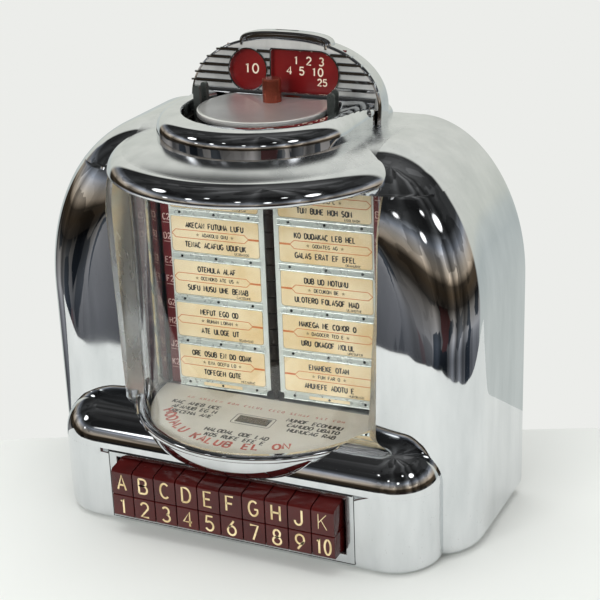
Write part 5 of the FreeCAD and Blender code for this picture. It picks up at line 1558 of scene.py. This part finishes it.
def fins(shell):
    """Level fins across the face, stopped at the window frames."""
    for n in range(5):
        z = 12.0 + 5.8 * n
        half = CROWN_HALF * math.sqrt(max(0.1, 1.0 - (z / (CROWN_HEIGHT + 2)) ** 2)) - 3.0
        up = z + 1.2 - CROWN_WINDOW_Z
        coin, price = ((radius + FRAME_GROW) ** 2 - up * up for radius in (COIN_RADIUS, PRICE_HALF))
        edges = [-half]
        if coin > 0:
            edges += [COIN_X - math.sqrt(coin), COIN_X + math.sqrt(coin)]
        if price > 0:
            edges += [PRICE_LEFT - FRAME_GROW, PRICE_RIGHT - PRICE_HALF + math.sqrt(price)]
        edges.append(half)
        for side in (-1, 1):
            low_x, high_x = sorted((side * (half - 0.6), side * (half + 3.4)))
            shell.block((low_x, -1.7, z + 0.4), (high_x, 3.4, z + 1.6))
        for x0, x1 in zip(edges[::2], edges[1::2]):
            if x1 - x0 < 1.0:
                continue
            profile = [(0.2, 0.0), (-1.1, 0.0), (-1.6, 0.5), (-1.6, 1.9), (-1.1, 2.4), (0.2, 2.4)]
            rows = [[(x, y, z + rise) for y, rise in profile] for x in (x0, x1)]
            shell.grid(rows, 0, ((x0 + x1) / 2, 3, z + 1.2))
            shell.caps(rows, 0, ((x0 + x1) / 2, 0, z + 1.2))


def insert():
    """The red plate behind the crown's windows, with plain figures printed on it."""
    shell = Shell()
    depth = WALL + 0.05
    left, right = COIN_X - COIN_RADIUS - 4.0, PRICE_RIGHT + 4.0
    shell.block((left, depth, 3.2), (right, depth + 1.5, CROWN_WINDOW_Z + PRICE_HALF + 2.0))
    middle = (PRICE_LEFT + PRICE_RIGHT) / 2
    for text, x, rise, height, width, squeeze in (
            ("10", COIN_X + 1.0, -2.6, 6.4, 1.1, 1.1), ("1 2 3", middle + 1.5, 5.6, 5.4, 0.95, 1.0),
            ("4 5 10", middle - 1.5, -1.8, 5.4, 0.95, 1.0), ("25", middle + 12.0, -8.6, 4.6, 0.9, 1.0)):
        write(shell, text, x, CROWN_WINDOW_Z + rise, height, width, 1, -depth + 0.04, squeeze, True)
    shell.place(leaned())
    made = shell.piece("crown_window_plate", ["red_translucent", "print_cream"])
    settle(made, "case", "red_clear", "crown_insert")


# ---------------------------------------------------------------------------
# Camera, light, floor
# ---------------------------------------------------------------------------

CAMERA_PLACE = (0.4683, -0.9150, 0.5746)
CAMERA_AZIMUTH = 25.41
CAMERA_ELEVATION = 21.62
CAMERA_ROLL = -2.19
CAMERA_LENS = 92.7


def camera():
    """The view from the front right, a little above."""
    data = bpy.data.cameras.new("camera")
    data.lens = CAMERA_LENS
    data.sensor_width = 36.0
    eye = linked("camera", data)
    a, e, roll = (math.radians(v) for v in (CAMERA_AZIMUTH, CAMERA_ELEVATION, CAMERA_ROLL))
    right = Vector((math.cos(a), math.sin(a), 0))
    back = Vector((math.sin(a) * math.cos(e), -math.cos(a) * math.cos(e), math.sin(e)))
    up = back.cross(right)
    turned_right = math.cos(roll) * right + math.sin(roll) * up
    turned_up = -math.sin(roll) * right + math.cos(roll) * up
    turn = Matrix((turned_right, turned_up, back)).transposed()
    eye.matrix_world = Matrix.Translation(CAMERA_PLACE) @ turn.to_4x4()
    bpy.context.scene.camera = eye


def lamp(name, place, target, width, height, power):
    """A soft area light aimed at a point."""
    data = bpy.data.lights.new(name, "AREA")
    data.shape = "RECTANGLE"
    data.size = width
    data.size_y = height
    data.energy = power
    light = linked(name, data)
    light.location = place
    light.rotation_euler = (Vector(target) - Vector(place)).to_track_quat("-Z", "Y").to_euler()
    light.visible_glossy = False


# The pale backdrop that the chrome shows: where its middle lies, and the cosine of its half angle
BACKDROP_AIM = (-0.061, 0.998, 0.02)
BACKDROP_EDGE = 0.52

# Lamps of the room that the chrome shows: heading from the front, height, half width, strength
ROOM_LAMPS = (
    (-62.0, 30.0, 4.5, 3.0), (66.0, 31.0, 4.5, 3.0), (-30.0, 22.0, 2.2, 2.4), (-18.0, 34.0, 1.6, 2.0),
    (8.0, 24.0, 1.8, 2.0), (30.0, 18.0, 2.4, 2.0), (44.0, 36.0, 1.8, 1.8), (-48.0, 12.0, 2.0, 1.4),
)

# The room in front, as chrome shows it. Height and heading run from 0 to 1; 0.5 is level and straight ahead.
FRONT_BAND = (
    (0.0, 0.55), (0.27, 0.50), (0.295, 0.10), (0.34, 0.30), (0.40, 0.16), (0.43, 0.035), (0.50, 0.045),
    (0.53, 0.34), (0.62, 0.40), (0.66, 0.16), (0.70, 0.035), (0.80, 0.028), (0.92, 0.05), (1.0, 0.10),
)
FRONT_STRIPS = (
    (0.0, 1.0), (0.20, 0.8), (0.24, 1.6), (0.27, 0.6), (0.30, 1.5), (0.33, 1.0), (0.36, 0.6), (0.40, 0.9),
    (0.43, 1.3), (0.46, 0.7), (0.52, 0.9), (0.55, 1.7), (0.57, 0.6), (0.62, 0.5), (0.65, 2.2), (0.67, 0.4),
    (0.70, 1.8), (0.72, 0.5), (0.76, 1.5), (1.0, 1.0),
)
FRONT_TINTS = (
    (0.0, "f4f1ea"), (0.30, "d8dce6"), (0.42, "d8cfc4"), (0.47, "f0cfa8"), (0.56, "f4e6d4"),
    (0.64, "d4dcea"), (0.72, "dfe2e4"), (1.0, "ffffff"),
)
CLUTTER = ((0.0, 0.45), (0.35, 0.8), (0.6, 1.15), (1.0, 1.7))
CLUTTER_TINTS = ((0.0, "5a6b80"), (0.3, "9fabb8"), (0.5, "ffffff"), (0.8, "ffffff"), (0.9, "a8787a"))
PALE_WALLS = (
    (0.0, "dfe2dc"), (0.44, "c3cac8"), (0.49, "cdd3cf"), (0.53, "d8dbd2"), (0.75, "e6e7df"), (0.9, "eaebe4"),
)


def room_front(w, place, height, heading):
    """The darker stretch in front: bands by height and heading, broken into blocks, some of them tinted."""
    feeds = [("Scale", 5.0), ("Vector", place)]
    blocks = w.node("ShaderNodeTexVoronoi", feeds, distance="CHEBYCHEV").outputs["Color"]
    band = w.blend(1.0, w.ramp(height, *FRONT_BAND), w.ramp(heading, *FRONT_STRIPS), "MULTIPLY")
    band = w.blend(1.0, band, w.ramp(blocks, *CLUTTER), "MULTIPLY")
    band = w.blend(1.0, band, w.ramp(height, *FRONT_TINTS), "MULTIPLY")
    coloured = w.math("MULTIPLY", w.math("LESS_THAN", height, 0.43), w.math("GREATER_THAN", height, 0.28))
    return w.blend(coloured, band, w.blend(1.0, band, w.ramp(blocks, *CLUTTER_TINTS), "MULTIPLY"))


def toward(azimuth, elevation):
    """The direction of a heading, in radians from the front, and a height."""
    flat_reach = math.cos(elevation)
    return (math.sin(azimuth) * flat_reach, -math.cos(azimuth) * flat_reach, math.sin(elevation))


def surroundings():
    """A pale room: white above, pale walls, and a darker stretch in front that only chrome shows."""
    world = bpy.data.worlds.new("room")
    bpy.context.scene.world = world
    w = Nodes(world)
    place = w.node("ShaderNodeTexCoord").outputs["Generated"]
    apart = w.node("ShaderNodeSeparateXYZ", [(0, place)])
    height = w.math("MULTIPLY_ADD", apart.outputs["Z"], 0.5, 0.5)
    turn = w.math("ARCTAN2", apart.outputs["X"], w.math("MULTIPLY", apart.outputs["Y"], -1.0))
    heading = w.math("MULTIPLY_ADD", turn, 0.5 / math.pi, 0.5)

    def near(aim, start, end, strength):
        """How bright a lamp or patch shows, by how near the view is to its direction."""
        feeds = enumerate((place, aim))
        dot = w.node("ShaderNodeVectorMath", feeds, operation="DOT_PRODUCT").outputs["Value"]
        return w.spread(dot, 0.0, strength, start, end)

    backdrop = near(BACKDROP_AIM, BACKDROP_EDGE - 0.03, BACKDROP_EDGE + 0.03, 1.0)
    seen = w.blend(backdrop, room_front(w, place, height, heading), w.ramp(height, *PALE_WALLS))
    for azimuth, elevation, spread, strength in ROOM_LAMPS:
        aim = toward(math.radians(azimuth), math.radians(elevation))
        edges = (math.cos(math.radians(spread * share)) for share in (1.35, 0.8))
        seen = w.blend(1.0, seen, near(aim, *edges, strength), "ADD")
    plain = w.nodes["Background"]
    w.feed("ecedea", plain.inputs["Color"])
    shiny = w.node("ShaderNodeBackground", [("Color", seen)])
    soft = w.node("ShaderNodeBackground", [("Color", 1.0), ("Strength", 0.75)])
    path = w.node("ShaderNodeLightPath").outputs
    shown = w.either(path["Is Diffuse Ray"], w.either(path["Is Glossy Ray"], plain, shiny), soft)
    w.link(shown.outputs[0], w.nodes["World Output"].inputs["Surface"])


# The bench top's outline, in metres
FLOOR_OUTLINE = (
    (-0.62, -0.12), (-0.345, -0.263), (-0.229, -0.315), (-0.15, -0.318), (-0.08, -0.33), (-0.03, -0.347),
    (0.097, -0.381), (0.178, -0.38), (0.306, -0.312), (0.382, -0.226), (0.438, -0.122), (0.46, 0.022),
    (0.46, 0.36), (0.199, 0.218), (0.139, 0.192), (0.10, 0.17), (-0.17, 0.12), (-0.2025, 0.0497),
    (-0.259, 0.0226), (-0.62, -0.11),
)


def floor():
    """A pale bench top that stops a little way in front and just behind."""
    f = Finish("pale_floor", Roughness=0.62)
    f.drive("Base Color", f.ramp(f.noise(3.0, 3.0), (0.3, "f0f2ee"), (0.7, "e9ece8")))
    f.bump(f.noise(300.0, 3.0), 0.04, 0.3)
    mesh = bpy.data.meshes.new("floor")
    mesh.from_pydata(level(FLOOR_OUTLINE, 0), [], [tuple(range(len(FLOOR_OUTLINE)))])
    mesh.materials.append(f.material)
    ground = linked("floor", mesh)


finish_nodes()
front_cover()
crown()
insert()
bezel()
keys()
leaves()
labels()
floor_card()
window_pane()
disc()
post()
disc_shade_rings()
camera()
lamp("overhead", (0.1, -0.15, 1.5), (0, 0, 0.15), 1.2, 1.0, 7.0)
lamp("front_fill", (-0.25, -1.7, 0.75), (0, 0, 0.18), 1.0, 0.8, 15.0)
surroundings()
floor()
bpy.context.scene.view_settings.view_transform = "Standard"
